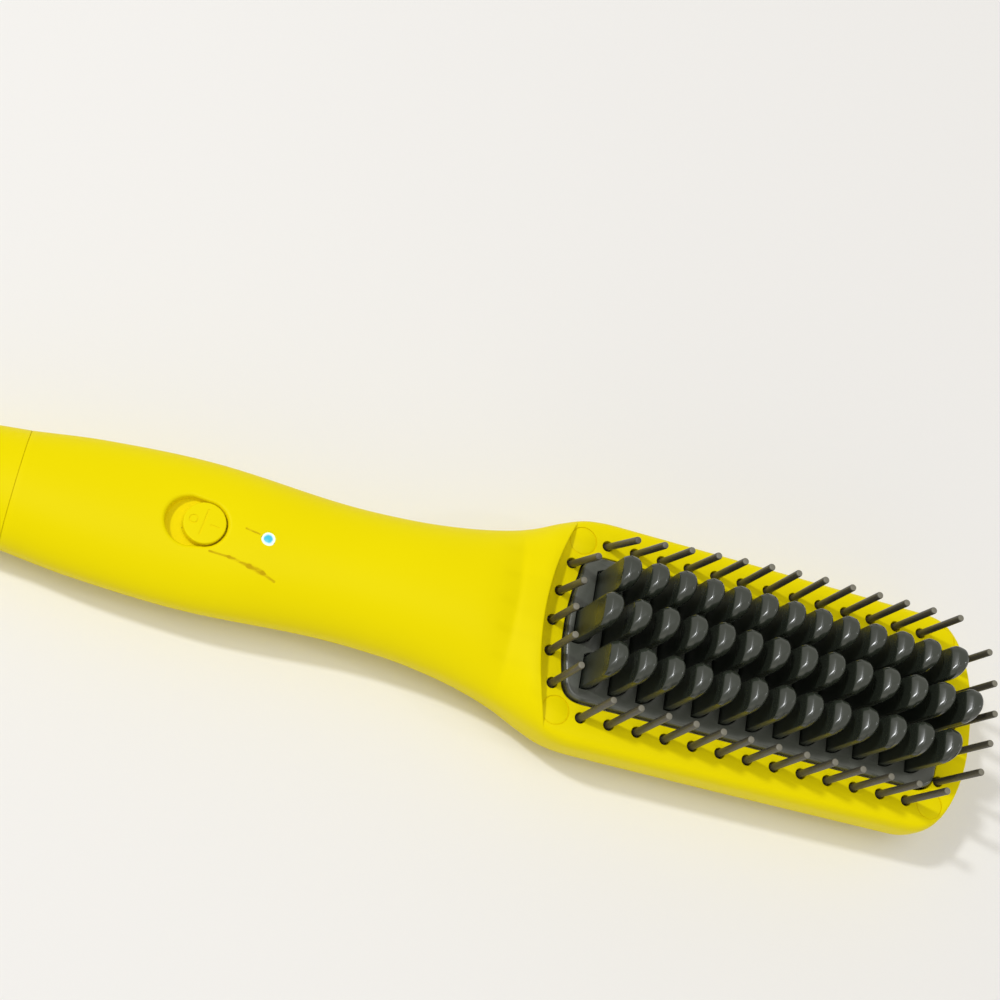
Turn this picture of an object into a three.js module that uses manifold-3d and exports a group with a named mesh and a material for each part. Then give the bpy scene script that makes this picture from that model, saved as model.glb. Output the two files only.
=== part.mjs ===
// Heated hair straightening brush, lying on its back with the teeth up.
// Millimetres. +X runs from the handle to the head, +Z up, Y across.
// The face of the head is the working datum: heights are measured from it,
// and the finished group is lifted so that the flat back rests on Z = 0.

import * as THREE from "three";
import { mergeVertices } from "three/addons/utils/BufferGeometryUtils.js";
import Module from "manifold-3d";

const wasm = await Module();
wasm.setup();

// Sizes

const RING = 28;              // points round a section of the housing
const GAP = 0.3;              // shut line between two pieces that touch
const WALL = 2.2;             // moulded wall of the housing

// Housing
const HANDLE_END = -176;      // seam between handle and end cap
const HEAD_END = 57.8;        // far end of the head, at the face
const BACK_DEPTH = 21;        // face to flat back
const PARTING = -10;          // height of the seam along the side
const HEAD_HALF = 27.9;       // half width of the head at its fullest
const FULLEST = -6;           // height of that fullest line on the head
const END_ROUND = 15;         // length over which the head's corners draw in
const END_BULGE = 0.3;        // side wall beyond the face's own edge
const END_COLUMN = HEAD_END - 5.5;        // bristle columns at the two ends of the face
const BRISTLE_ROW = HEAD_HALF - 6.75;     // bristle rows along its sides
const RECESS_X = -(END_COLUMN + 3.3);     // wall between neck and face, on the centre line
const RECESS_RADIUS = 58;
const NECK_RIDGE = RECESS_X - 5.9;        // soft ridge across the neck

// End cap and cord swivel
const CAP_LENGTH = 24;
const CAP_TAPER = 0.18;       // share that the cap draws in over its length
const CAP_ROUND = 0.12;       // and that its end rounds off
const CAP_COLLAR = 6;         // length of the cap's collar inside the handle
const CAP_COLLAR_WALL = 1.4;
const SWIVEL_RADIUS = 4.6;
const SWIVEL_LIP = 1;       // flange beyond the swivel's neck
const SWIVEL_REACH = 7;       // how far the swivel stands out of the cap
const SWIVEL_Z = -10;
const SWIVEL_CLEARANCE = 0.25;
const BLOCK_LENGTH = 5;       // terminal block behind the swivel

// Slide switch
const KNOB_X = -135;
const KNOB_Z = 2.75;
const KNOB_RADIUS = 4.75;
const KNOB_DEPTH = 1.6;
const KNOB_TRAVEL = 3;
const KNOB_SLOPE = THREE.MathUtils.degToRad(3.2);
const RECESS_SIDE = 0.55;     // free space round the knob in its recess
const RECESS_SOFT = 0.75;     // softened edge of the recess
const STEM = 2.4;             // square stem under the knob
const STEM_LENGTH = 3.1;
const SWITCH_BEHIND = 9;      // reach of the switch body towards the seam
const SWITCH_AHEAD = 6;       // and towards the head
const SWITCH_HALF = 3.4;
const SWITCH_ROOM = 0.4;      // free space round it in the board

// Indicator
const LED_X = -120.65;
const LED_Z = 3.55;
const LENS_RADIUS = 1.5;

// Teeth
const TEETH_OUTER = 13;
const TEETH_MIDDLE = 14;
const ROW_BRISTLES = 13;
const PITCH = (END_COLUMN - 10.42) * 2 / (ROW_BRISTLES - 1);  // tooth to tooth, bristle to bristle
const ROW_SPACING = BRISTLE_ROW - 10.95;
const TOOTH_FIRST = -PITCH * 6 - 1.53;    // flat front of the first tooth of an outer row
const TOOTH_HALF = (ROW_SPACING - 2.2) / 2;
const TOOTH_HEIGHT = 18.3;    // outer rows, above the face
const MIDDLE_EXTRA = 1.7;     // the middle row stands higher
const TOOTH_THICK = 4.85;
const TOOTH_CORNER = 3.5;
const TOOTH_EDGE = 0.5;       // how far the flat front draws in from the flanks, at its crisp edge
const TOOTH_BROW = 1.8;       // and from the crest
const TOOTH_FULL = 2.6;       // depth at which a tooth is fullest
const TOOTH_TAPER = 1.9;      // how far the domed back draws in from the flanks
const TOOTH_FALL = 2.2;       // and from the crest
const TOOTH_HOLE = 0.35;      // gap between a tooth and its hole
const BAR_HALF = TOOTH_HALF - 0.3;
const BAR_DEPTH = 2;
const BAR_SHORT = 0.6;        // the bar ends just inside the outermost teeth

// Cover plate in the face
const PLATE_CENTRE = 0.5;
const PLATE_LENGTH = (END_COLUMN - 2.9) * 2;
const PLATE_WIDTH = (BRISTLE_ROW - 3.55) * 2;
const PLATE_CORNER = 5.5;
const PLATE_BOW = 1.4;        // how far the plate's ends bulge
const PLATE_RISE = 1.3;       // above the face
const PLATE_THICK = 2.8;
const PLATE_ROUND = 0.9;
const WINDOW_GAP = 0.5;

// Bristles
const END_BRISTLES = 5;
const BRISTLE_RADIUS = 0.85;
const BRISTLE_HEIGHT = 17.1;
const BRISTLE_HOLE = 0.45;
const END_PITCH = (BRISTLE_ROW - 6.45) / 2;
const END_SAG = 2.4;
const STRIP_HALF = 1.6;
const STRIP_DEPTH = 2;
const LEAN_LEFT = 2.4;        // inward lean of the tips beside the handle
const LEAN_RIGHT = 0.9;
const LEAN_START = 7;         // the lean grows from here towards the handle
const SPLAY_START = 5;        // tips lean towards the far end on both sides of the middle
const SPLAY_REACH = END_COLUMN - 15.3;
const BRISTLE_SPLAY = [1.55, 1];   // on the handle's side, and on the far side
const TOOTH_SPLAY = [0.65, 1.1];

// Screws under plugs
const SCREW_X = END_COLUMN - 4.2;
const SCREW_Y = HEAD_HALF - 7.1;
const PLUG_RADIUS = 3.25;
const PLUG_DEPTH = 1.2;
const SCREW_HEAD = 2.5;
const SCREW_HEAD_DEPTH = 1.5;
const SCREW_SHANK = 1.3;
const SCREW_END = -16;        // height of the screws' points
const BOSS_RADIUS = 4.3;

// Heating stack under the plate
const TRAY_WALL = 1;
const TRAY_INSET = 0.4;       // tray inside the plate's outline
const TRAY_LIP = 0.9;
const TRAY_LIP_REACH = PLATE_LENGTH / 2 - 7.4;    // the lip runs along the tray's long sides only
const SPREADER_THICK = 2;
const SPREADER_GAP = 0.5;     // between the spreader and the tray's wall
const HEATER_THICK = 2.5;
const HEATER_LENGTH = PLATE_LENGTH / 2 - 13.4;
const HEATER_WIDTH = PLATE_WIDTH - 11.2;
const SHEET_THICK = 0.5;
const CLAMP_THICK = 1;
const FUSE_RADIUS = 1.1;
const LEAD_RADIUS = 0.9;

// Control board
const BOARD_START = -168;
const BOARD_LENGTH = 60;
const BOARD_HALF = 9;
const BOARD_TOP = -6.6;
const BOARD_THICK = 1.6;
const POST_RADIUS = 1.8;

// Materials

function finish(color, roughness, metalness = 0) {
  return { color, roughness, metalness };
}

const YELLOW = finish(0xf4e400, 0.34);
const DARK_GREY = finish(0x3f413e, 0.22);
const PIN_GREY = finish(0x4c4a40, 0.4);
const LENS = finish(0xc8f6ff, 0.15);
const STEEL = finish(0x9a9c9e, 0.35, 1);
const ALUMINIUM = finish(0xb8bbbd, 0.4, 1);
const BOARD = finish(0x1f5c3a, 0.5);
const BLACK = finish(0x1c1c1c, 0.5);
const MICA = finish(0xd8c49a, 0.6);
const TRAY = finish(0xe6e1d2, 0.55);
const CERAMIC = finish(0xf0efe9, 0.6);
const LEAD_RED = finish(0x9c2b20, 0.5);

// Helpers

// A smooth curve through a few [x, value] points.
function curve(points) {
  const slope = points.map((p, i) => {
    const a = points[Math.max(i - 1, 0)];
    const b = points[Math.min(i + 1, points.length - 1)];
    return (b[1] - a[1]) / (b[0] - a[0]);
  });
  return (x) => {
    let i = 0;
    while (i < points.length - 2 && x > points[i + 1][0]) i += 1;
    const [x0, v0] = points[i];
    const [x1, v1] = points[i + 1];
    const h = x1 - x0;
    const t = Math.min(Math.max((x - x0) / h, 0), 1);
    const s = t * t * (3 - 2 * t);
    const left = h * slope[i] * t * (1 - t) ** 2;
    const right = h * slope[i + 1] * t * t * (t - 1);
    return v0 + (v1 - v0) * s + left + right;
  };
}

// A closed skin over rings that have the same number of points.
function loft(rings) {
  const n = rings[0].length;
  const positions = rings.flat().flatMap((p) => [p.x, p.y, p.z]);
  const index = [];
  for (let r = 0; r < rings.length - 1; r += 1) {
    for (let i = 0; i < n; i += 1) {
      const j = (i + 1) % n;
      const a = r * n;
      const b = a + n;
      index.push(a + i, a + j, b + j, a + i, b + j, b + i);
    }
  }
  const last = (rings.length - 1) * n;
  for (let i = 1; i < n - 1; i += 1) {
    index.push(0, i + 1, i);
    index.push(last, last + i, last + i + 1);
  }
  const geometry = new THREE.BufferGeometry();
  geometry.setAttribute("position", new THREE.Float32BufferAttribute(positions, 3));
  geometry.setIndex(index);
  return geometry;
}

// Turns a closed geometry into a solid that can be joined and cut.
function solid(geometry) {
  const bare = geometry.clone();
  bare.deleteAttribute("normal");
  bare.deleteAttribute("uv");
  const welded = mergeVertices(bare, 1e-4);
  const made = new wasm.Manifold(new wasm.Mesh({
    numProp: 3,
    vertProperties: new Float32Array(welded.attributes.position.array),
    triVerts: new Uint32Array(welded.index.array),
  }));
  return made;
}

function join(solids) {
  return solids.reduce((a, b) => a.add(b));
}

function cut(base, tools) {
  return tools.reduce((a, b) => a.subtract(b), base);
}

function box(x0, x1, y0, y1, z0, z1) {
  const g = new THREE.BoxGeometry(x1 - x0, y1 - y0, z1 - z0);
  g.translate((x0 + x1) / 2, (y0 + y1) / 2, (z0 + z1) / 2);
  return solid(g);
}

// An upright cylinder between two heights.
function post(x, y, z0, z1, radius, sides = 16) {
  const g = new THREE.CylinderGeometry(radius, radius, z1 - z0, sides);
  g.rotateX(Math.PI / 2);
  g.translate(x, y, (z0 + z1) / 2);
  return solid(g);
}

// A cylinder along X between two places.
function axle(x0, x1, y, z, radius, sides = 24) {
  const g = new THREE.CylinderGeometry(radius, radius, x1 - x0, sides);
  g.rotateZ(Math.PI / 2);
  g.translate((x0 + x1) / 2, y, z);
  return solid(g);
}

function slab(shape, z0, z1, curveSegments = 8) {
  const g = new THREE.ExtrudeGeometry(shape, {
    depth: z1 - z0,
    bevelEnabled: false,
    curveSegments,
  });
  g.translate(0, 0, z0);
  return solid(g);
}

// A lead that follows a few chosen points.
function lead(points) {
  const path = new THREE.CatmullRomCurve3(points.map((p) => new THREE.Vector3(...p)));
  const round = new THREE.Shape().absarc(0, 0, LEAD_RADIUS, 0, Math.PI * 2);
  return solid(new THREE.ExtrudeGeometry(round, {
    steps: 8,
    curveSegments: 4,
    bevelEnabled: false,
    extrudePath: path,
  }));
}

const group = new THREE.Group();
group.name = "hair_straightening_brush";

function place(name, made, look) {
  const mesh = made.getMesh();
  const g = new THREE.BufferGeometry();
  g.setAttribute("position", new THREE.BufferAttribute(mesh.vertProperties.slice(), 3));
  g.setIndex(new THREE.BufferAttribute(mesh.triVerts.slice(), 1));
  g.computeVertexNormals();
  const part = new THREE.Mesh(g, new THREE.MeshStandardMaterial(look));
  part.name = name;
  group.add(part);
}

// Form of the housing

const halfWidth = curve([
  [-176, 13.7], [-160, 15.9], [-135, 17.3], [-105, 15.8], [-88, 16.3], [-76, 17.8],
  [RECESS_X - 11.4, HEAD_HALF - 8.2], [RECESS_X - 4.4, HEAD_HALF - 6], [RECESS_X + 2.6, HEAD_HALF - 2.9],
  [RECESS_X + 8.6, HEAD_HALF - 0.7], [RECESS_X + 15.6, HEAD_HALF], [HEAD_END, HEAD_HALF - 0.3],
]);
const crest = curve([
  [-176, 1.2], [-155, 2.1], [KNOB_X, KNOB_Z], [LED_X, LED_Z], [-90, 4.6],
  [NECK_RIDGE, 5.4], [RECESS_X + 1.6, 4.6], [RECESS_X + 11.6, 3], [HEAD_END, 3],
]);
const fullest = curve([
  [-176, -8.5], [-140, -7.1], [-100, -7], [-75, -6.4], [-50, FULLEST], [HEAD_END, FULLEST],
]);
const keel = curve([
  [-176, -21.2], [-150, -21.6], [-110, -21.4], [-80, -20.6], [-50, -21.2],
  [-30, -21.7], [HEAD_END, -21.7],
]);
const crownPower = curve([[-176, 2.1], [-90, 2.1], [-60, 2.3], [-48, 3.5], [HEAD_END, 3.5]]);
const backPower = curve([[-176, 2.2], [-90, 2.2], [-50, 2.9], [HEAD_END, 2.9]]);

// One section of the housing across X, drawn in by inset.
function section(x, inset, points) {
  const tip = HEAD_END + END_BULGE - inset;
  const t = Math.min(Math.max(0, (x - tip + END_ROUND) / END_ROUND), 1);
  const mid = fullest(x);
  const half = (Math.min(halfWidth(x), HEAD_HALF) - inset) * (1 - t ** 2.8) ** 0.55;
  const up = (crest(x) - mid - inset) * (1 - t ** 20) ** 0.5;
  const down = (mid - keel(x) - inset) * (1 - t ** 8) ** 0.5;
  const ring = [];
  for (let i = 0; i < points; i += 1) {
    const a = (i / points) * Math.PI * 2;
    const c = Math.cos(a);
    const s = Math.sin(a);
    const power = s > 0 ? crownPower(x) : backPower(x);
    const y = half * Math.sign(c) * Math.abs(c) ** (2 / power);
    const z = mid + (s > 0 ? up : down) * Math.sign(s) * Math.abs(s) ** (2 / power);
    ring.push(new THREE.Vector3(x, y, z));
  }
  return ring;
}

function spread(from, to, steps) {
  return Array.from({ length: steps + 1 }, (_, i) => from + ((to - from) * i) / steps);
}

// Where the housing is cut across: even along the handle, close at the neck,
// and closing up round the far end of the head.
function stations() {
  const last = HEAD_END + END_BULGE;
  const rounding = spread(0.1, 0.93, 6);
  return [
    ...spread(HANDLE_END, -84, 9),
    ...spread(-76, -44, 8),
    RECESS_X + 15.6,
    ...rounding.map((t) => last - END_ROUND * (1 - Math.sin((t * Math.PI) / 2))),
  ];
}

const FLAT_CUT = box(-260, 120, -60, 60, -BACK_DEPTH - 20, -BACK_DEPTH);

function housing() {
  const outer = solid(loft(stations().map((x) => section(x, 0, RING))));
  const face = new THREE.Shape();
  const centre = RECESS_X + RECESS_RADIUS;
  const reach = Math.asin(40 / RECESS_RADIUS);
  face.absarc(centre, 0, RECESS_RADIUS, Math.PI - reach, Math.PI + reach, false);
  face.lineTo(HEAD_END + 20, -40);
  face.lineTo(HEAD_END + 20, 40);
  return cut(outer, [slab(face, 0, 20, 20), FLAT_CUT]);
}

function cavity() {
  const neck = [-10.4, -4.4, 2.6, 10.6].map((d) => RECESS_X + d);
  const end = [13.8, 7.8, 4.8, 2.8].map((d) => HEAD_END - d);
  const along = [HANDLE_END - 1, -155, -130, -105, -88, -76, ...neck, ...end];
  const rings = along.map((x) => section(x, WALL, RING / 2));
  const head = box(RECESS_X + 1.6, HEAD_END, -40, 40, -WALL, 20);
  return solid(loft(rings)).subtract(head);
}

// Plate outline

// Rounded rectangle with bowed ends, grown by a margin.
function plateShape(margin) {
  const half = PLATE_WIDTH / 2 + margin;
  const end = PLATE_LENGTH / 2 + margin;
  const r = PLATE_CORNER + margin;
  const s = new THREE.Shape();
  const side = end - PLATE_BOW - r;
  s.moveTo(PLATE_CENTRE - side, half);
  s.quadraticCurveTo(PLATE_CENTRE - side - r, half, PLATE_CENTRE - side - r, half - r);
  s.quadraticCurveTo(PLATE_CENTRE - end - PLATE_BOW, 0, PLATE_CENTRE - side - r, r - half);
  s.quadraticCurveTo(PLATE_CENTRE - side - r, -half, PLATE_CENTRE - side, -half);
  s.lineTo(PLATE_CENTRE + side, -half);
  s.quadraticCurveTo(PLATE_CENTRE + side + r, -half, PLATE_CENTRE + side + r, r - half);
  s.quadraticCurveTo(PLATE_CENTRE + end + PLATE_BOW, 0, PLATE_CENTRE + side + r, half - r);
  s.quadraticCurveTo(PLATE_CENTRE + side + r, half, PLATE_CENTRE + side, half);
  s.closePath();
  return s;
}

// Teeth

const rows = [
  { name: "left", y: ROW_SPACING, count: TEETH_OUTER, first: TOOTH_FIRST, extra: 0 },
  {
    name: "middle", y: 0, count: TEETH_MIDDLE, first: TOOTH_FIRST - PITCH / 2,
    extra: MIDDLE_EXTRA,
  },
  { name: "right", y: -ROW_SPACING, count: TEETH_OUTER, first: TOOTH_FIRST, extra: 0 },
];

// How a tooth draws in, from its flat front over its fullest place to its domed back:
// depth, then how far in from the flanks and from the crest.
function toothProfile() {
  return [0, 0.9, TOOTH_FULL, 4.1, TOOTH_THICK].map((x) => {
    const front = Math.max(0, 1 - x / TOOTH_FULL) ** 2.4;
    const u = Math.max(0, (x - TOOTH_FULL) / (TOOTH_THICK - TOOTH_FULL));
    const back = 1 - Math.sqrt(1 - u * u);
    return [x, front * TOOTH_EDGE + back * TOOTH_TAPER, front * TOOTH_BROW + back * TOOTH_FALL];
  });
}

// How far a tip leans towards the far end of the head.
function splay(x, [handleSide, farSide]) {
  const share = Math.max(0, Math.abs(x) - SPLAY_START) / SPLAY_REACH;
  return x < 0 ? handleSide * share ** 1.2 : farSide * share ** 1.6;
}

// A round-shouldered blade: flat front, domed back.
function tooth(x0, y0, foot, height) {
  const lean = splay(x0, TOOTH_SPLAY) / height;
  const at = (x, y, z) => new THREE.Vector3(x0 + x + lean * Math.max(0, z), y0 + y, z);
  const rings = toothProfile().map(([x, side, crown]) => {
    const half = TOOTH_HALF - side;
    const r = Math.min(TOOTH_CORNER - (side + crown) * 0.43, half - 0.1);
    const top = height - crown;
    const ring = [at(x, half, foot)];
    for (const a of spread(0, Math.PI / 2, 3)) {
      ring.push(at(x, half - r + r * Math.cos(a), top - r + r * Math.sin(a)));
    }
    for (const a of spread(Math.PI / 2, Math.PI, 3)) {
      ring.push(at(x, r - half + r * Math.cos(a), top - r + r * Math.sin(a)));
    }
    ring.push(at(x, -half, foot));
    return ring;
  });
  return solid(loft(rings));
}

// The tooth's footprint, grown into the hole that it rises through.
function toothHole(x0, y0) {
  const s = new THREE.Shape();
  const half = TOOTH_HALF + TOOTH_HOLE;
  const front = x0 - TOOTH_HOLE;
  const full = x0 + TOOTH_FULL / 2;
  const back = x0 + TOOTH_THICK + TOOTH_HOLE;
  s.moveTo(front, y0 - half + TOOTH_EDGE * 1.5);
  s.quadraticCurveTo(front, y0 - half, full, y0 - half);
  s.quadraticCurveTo(back, y0 - half, back, y0 - half + TOOTH_TAPER);
  s.lineTo(back, y0 + half - TOOTH_TAPER);
  s.quadraticCurveTo(back, y0 + half, full, y0 + half);
  s.quadraticCurveTo(front, y0 + half, front, y0 + half - TOOTH_EDGE * 1.5);
  s.closePath();
  return s;
}

const PLATE_BOTTOM = PLATE_RISE - PLATE_THICK;
const BAR_TOP = PLATE_BOTTOM - GAP;
const BAR_BOTTOM = BAR_TOP - BAR_DEPTH;

function toothRow(row) {
  const start = row.first + BAR_SHORT;
  const end = row.first + PITCH * (row.count - 1) + TOOTH_THICK - BAR_SHORT;
  const bar = box(start, end, row.y - BAR_HALF, row.y + BAR_HALF, BAR_BOTTOM, BAR_TOP);
  const teeth = [];
  for (let i = 0; i < row.count; i += 1) {
    teeth.push(tooth(row.first + PITCH * i, row.y, BAR_TOP - 0.4, TOOTH_HEIGHT + row.extra));
  }
  return join([bar, ...teeth]);
}

function coverPlate() {
  const g = new THREE.ExtrudeGeometry(plateShape(-PLATE_ROUND), {
    depth: PLATE_THICK - PLATE_ROUND * 2,
    bevelThickness: PLATE_ROUND,
    bevelSize: PLATE_ROUND,
    bevelSegments: 2,
    curveSegments: 5,
  });
  g.translate(0, 0, PLATE_BOTTOM + PLATE_ROUND);
  const holes = rows.flatMap((row) => spread(0, row.count - 1, row.count - 1).map((i) => (
    slab(toothHole(row.first + PITCH * i, row.y), PLATE_BOTTOM - 1, PLATE_RISE + 1, 2)
  )));
  return cut(solid(g), holes);
}

// Bristles

// Where each bristle stands, and how far its tip leans.
function bristle(x, y) {
  const outer = Math.min(1, Math.abs(y) / BRISTLE_ROW);
  const near = Math.max(0, LEAN_START - x) / (SPLAY_REACH + SPLAY_START);
  const inward = (y > 0 ? LEAN_LEFT : LEAN_RIGHT) * near ** 1.35 * outer;
  const along = splay(x, BRISTLE_SPLAY) * (x < 0 ? outer ** 2 : 1);
  return { x, y, dx: along, dy: -Math.sign(y) * inward };
}

const bristleRow = (y) => spread(0, ROW_BRISTLES - 1, ROW_BRISTLES - 1)
  .map((i) => bristle((i - (ROW_BRISTLES - 1) / 2) * PITCH, y));

const columnX = (y) => END_COLUMN - END_SAG * (y / (END_PITCH * 2)) ** 2;

const bristleColumn = (side) => spread(0, END_BRISTLES - 1, END_BRISTLES - 1)
  .map((i) => (i - (END_BRISTLES - 1) / 2) * END_PITCH)
  .map((y) => bristle(side * columnX(y), y));

const STRIP_TOP = -WALL - GAP;
const STRIP_BOTTOM = STRIP_TOP - STRIP_DEPTH;

function bristleBody(b) {
  const pivot = -WALL / 2;
  const profile = [
    [0, STRIP_TOP - 0.6], [BRISTLE_RADIUS, STRIP_TOP - 0.6],
    [BRISTLE_RADIUS, BRISTLE_HEIGHT - 0.4], [BRISTLE_RADIUS * 0.6, BRISTLE_HEIGHT],
    [0, BRISTLE_HEIGHT],
  ].map(([r, z]) => new THREE.Vector2(r, z - pivot));
  const g = new THREE.LatheGeometry(profile, 8);
  g.rotateX(Math.PI / 2);
  g.rotateY(Math.atan2(b.dx, BRISTLE_HEIGHT));
  g.rotateX(-Math.atan2(b.dy, BRISTLE_HEIGHT));
  g.translate(b.x, b.y, pivot);
  return solid(g);
}

function straightStrip(list) {
  const y = list[0].y;
  const reach = Math.abs(list[0].x) + STRIP_HALF;
  const bar = box(-reach, reach, y - STRIP_HALF, y + STRIP_HALF, STRIP_BOTTOM, STRIP_TOP);
  return join([bar, ...list.map(bristleBody)]);
}

function curvedStrip(list, side) {
  const reach = Math.abs(list[0].y) + STRIP_HALF;
  const across = spread(-reach, reach, 8);
  const outline = [
    ...across.map((y) => new THREE.Vector2(side * (columnX(y) + STRIP_HALF), y)),
    ...across.reverse().map((y) => new THREE.Vector2(side * (columnX(y) - STRIP_HALF), y)),
  ];
  const bar = slab(new THREE.Shape(outline), STRIP_BOTTOM, STRIP_TOP);
  return join([bar, ...list.map(bristleBody)]);
}

const strips = {
  left: bristleRow(BRISTLE_ROW),
  right: bristleRow(-BRISTLE_ROW),
  neck: bristleColumn(-1),
  tip: bristleColumn(1),
};
const allBristles = Object.values(strips).flat();

// Switch

const PATH_STEPS = 6;

// Turns a solid into the slope of the handle at the switch.
function onSlope(geometry) {
  geometry.rotateY(-KNOB_SLOPE);
  geometry.translate(KNOB_X, 0, KNOB_Z);
  return solid(geometry);
}

function slopeSlab(shape, z0, z1) {
  const g = new THREE.ExtrudeGeometry(shape, {
    depth: z1 - z0, bevelEnabled: false, curveSegments: PATH_STEPS,
  });
  g.translate(0, 0, z0);
  return onSlope(g);
}

// The knob's path: a round-ended slot, measured from the knob's rest.
function pathShape(margin) {
  const r = KNOB_RADIUS + margin;
  const s = new THREE.Shape();
  s.absarc(0, 0, r, -Math.PI / 2, Math.PI / 2, false);
  s.absarc(-KNOB_TRAVEL, 0, r, Math.PI / 2, -Math.PI / 2, false);
  s.closePath();
  return s;
}

const RECESS_FLOOR = -KNOB_DEPTH - GAP;
const PAD_BOTTOM = RECESS_FLOOR - 1.8;

function slopeBox(x0, x1, half, z0, z1) {
  const g = new THREE.BoxGeometry(x1 - x0, half * 2, z1 - z0);
  g.translate((x0 + x1) / 2, 0, (z0 + z1) / 2);
  return onSlope(g);
}

const slotRoom = STEM / 2 + 0.4;
const stemSlot = () => slopeBox(-KNOB_TRAVEL - slotRoom, slotRoom, slotRoom, PAD_BOTTOM - 1, 1);

// The recess with its softened edge.
function switchRecess() {
  const ringAt = (margin, z) => pathShape(margin).getPoints(PATH_STEPS).slice(0, -1)
    .map((p) => new THREE.Vector3(p.x, p.y, z));
  const soft = onSlope(loft([
    ringAt(RECESS_SIDE, -RECESS_SOFT - 0.35),
    ringAt(RECESS_SIDE + RECESS_SOFT * 0.35, -RECESS_SOFT * 0.5 - 0.25),
    ringAt(RECESS_SIDE + RECESS_SOFT, -0.2),
    ringAt(RECESS_SIDE + RECESS_SOFT * 1.6, 1.2),
  ]));
  return slopeSlab(pathShape(RECESS_SIDE), RECESS_FLOOR, 3).add(soft);
}

function knob() {
  const profile = [
    [0, -KNOB_DEPTH], [KNOB_RADIUS - 0.1, -KNOB_DEPTH], [KNOB_RADIUS, -0.35],
    [KNOB_RADIUS - 0.12, -0.1], [KNOB_RADIUS - 0.4, 0], [0, 0],
  ].map(([r, z]) => new THREE.Vector2(r, z));
  const g = new THREE.LatheGeometry(profile, 28);
  g.rotateX(Math.PI / 2);
  const stem = slopeBox(-STEM / 2, STEM / 2, STEM / 2, -KNOB_DEPTH - STEM_LENGTH, -KNOB_DEPTH + 0.4);
  return onSlope(g).add(stem);
}

const STEM_TIP = -KNOB_DEPTH - STEM_LENGTH;
const SLIDER_TOP = STEM_TIP + 0.7;
const SLIDER_BOTTOM = STEM_TIP - 0.9;
const SWITCH_TOP = SLIDER_BOTTOM - GAP;
const SWITCH_BOTTOM = SWITCH_TOP - 2.4;

function slider() {
  const room = STEM / 2 + 0.15;
  const block = slopeBox(-3, 3, 2.4, SLIDER_BOTTOM, SLIDER_TOP);
  return block.subtract(slopeBox(-room, room, room, STEM_TIP - 0.2, SLIDER_TOP + 1));
}

// Build

const boardEnd = BOARD_START + BOARD_LENGTH;
const boardBottom = BOARD_TOP - BOARD_THICK;
const boardPosts = [BOARD_START + 5, boardEnd - 5].flatMap((x) => [-1, 1].map((s) => [x, s * 6]));

const spreaderTop = BAR_BOTTOM - GAP;
const spreaderBottom = spreaderTop - SPREADER_THICK;
const heaterTop = spreaderBottom - GAP;
const heaterBottom = heaterTop - HEATER_THICK;
const sheetTop = heaterBottom - GAP;
const sheetBottom = sheetTop - SHEET_THICK;
const clampTop = sheetBottom - GAP;
const clampBottom = clampTop - CLAMP_THICK;
const trayFloor = clampBottom - GAP;
const trayBottom = trayFloor - TRAY_WALL;
const postX = HEATER_LENGTH - 6;
const postY = HEATER_WIDTH / 2 - 3;
const trayPosts = [-postX, postX].flatMap((x) => [-1, 1].map((s) => [PLATE_CENTRE + x, s * postY]));

const screws = [
  ["neck_left", -SCREW_X, SCREW_Y], ["neck_right", -SCREW_X, -SCREW_Y],
  ["tip_left", SCREW_X, SCREW_Y], ["tip_right", SCREW_X, -SCREW_Y],
];
const plugBottom = -PLUG_DEPTH;
const screwTop = plugBottom - GAP;
const seat = screwTop - SCREW_HEAD_DEPTH - GAP;

function shells() {
  const body = housing();
  const hollow = cavity();
  const split = box(-260, 120, -60, 60, PARTING, 40);
  const frontSplit = split;
  const backSplit = box(-260, 120, -60, 60, -60, PARTING - GAP);
  const pad = slopeSlab(pathShape(RECESS_SIDE + 1.6), PAD_BOTTOM, -1);
  const bosses = screws.map(([, x, y]) => post(x, y, PARTING - 6, -1, BOSS_RADIUS, 12));
  const bossStock = join(bosses).intersect(body);
  const shellWall = body.subtract(hollow);
  const front = cut(join([shellWall, pad, bossStock]).intersect(frontSplit), [
    switchRecess(),
    stemSlot(),
    slab(plateShape(WINDOW_GAP), -20, 10, 6),
    post(LED_X, 0, -9, 10, LENS_RADIUS + 0.15, 16),
    ...allBristles.map((b) => post(b.x, b.y, -WALL - 1, 3, BRISTLE_RADIUS + BRISTLE_HOLE, 7)),
    ...screws.map(([, x, y]) => post(x, y, seat, 6, PLUG_RADIUS + 0.2, 20)),
    ...screws.map(([, x, y]) => post(x, y, -20, seat + 1, SCREW_SHANK + GAP, 8)),
  ]);
  const backPosts = [
    ...screws.map(([, x, y]) => post(x, y, -BACK_DEPTH + 1, PARTING - GAP, BOSS_RADIUS - 0.8, 12)),
    ...trayPosts.map(([x, y]) => post(x, y, -BACK_DEPTH + 1, trayBottom - GAP, 2.4, 8)),
    ...boardPosts.map(([x, y]) => post(x, y, -BACK_DEPTH + 1, boardBottom - GAP, POST_RADIUS, 8)),
  ];
  const postStock = join(backPosts).intersect(body);
  const lower = join([shellWall.intersect(backSplit), postStock.intersect(box(-260, 120, -60, 60, -60, -4))]);
  const back = cut(lower, screws.map(([, x, y]) => (
    post(x, y, SCREW_END - 0.4, PARTING + 1, SCREW_SHANK + 0.2, 8)
  )));
  return { front, back };
}

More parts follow.
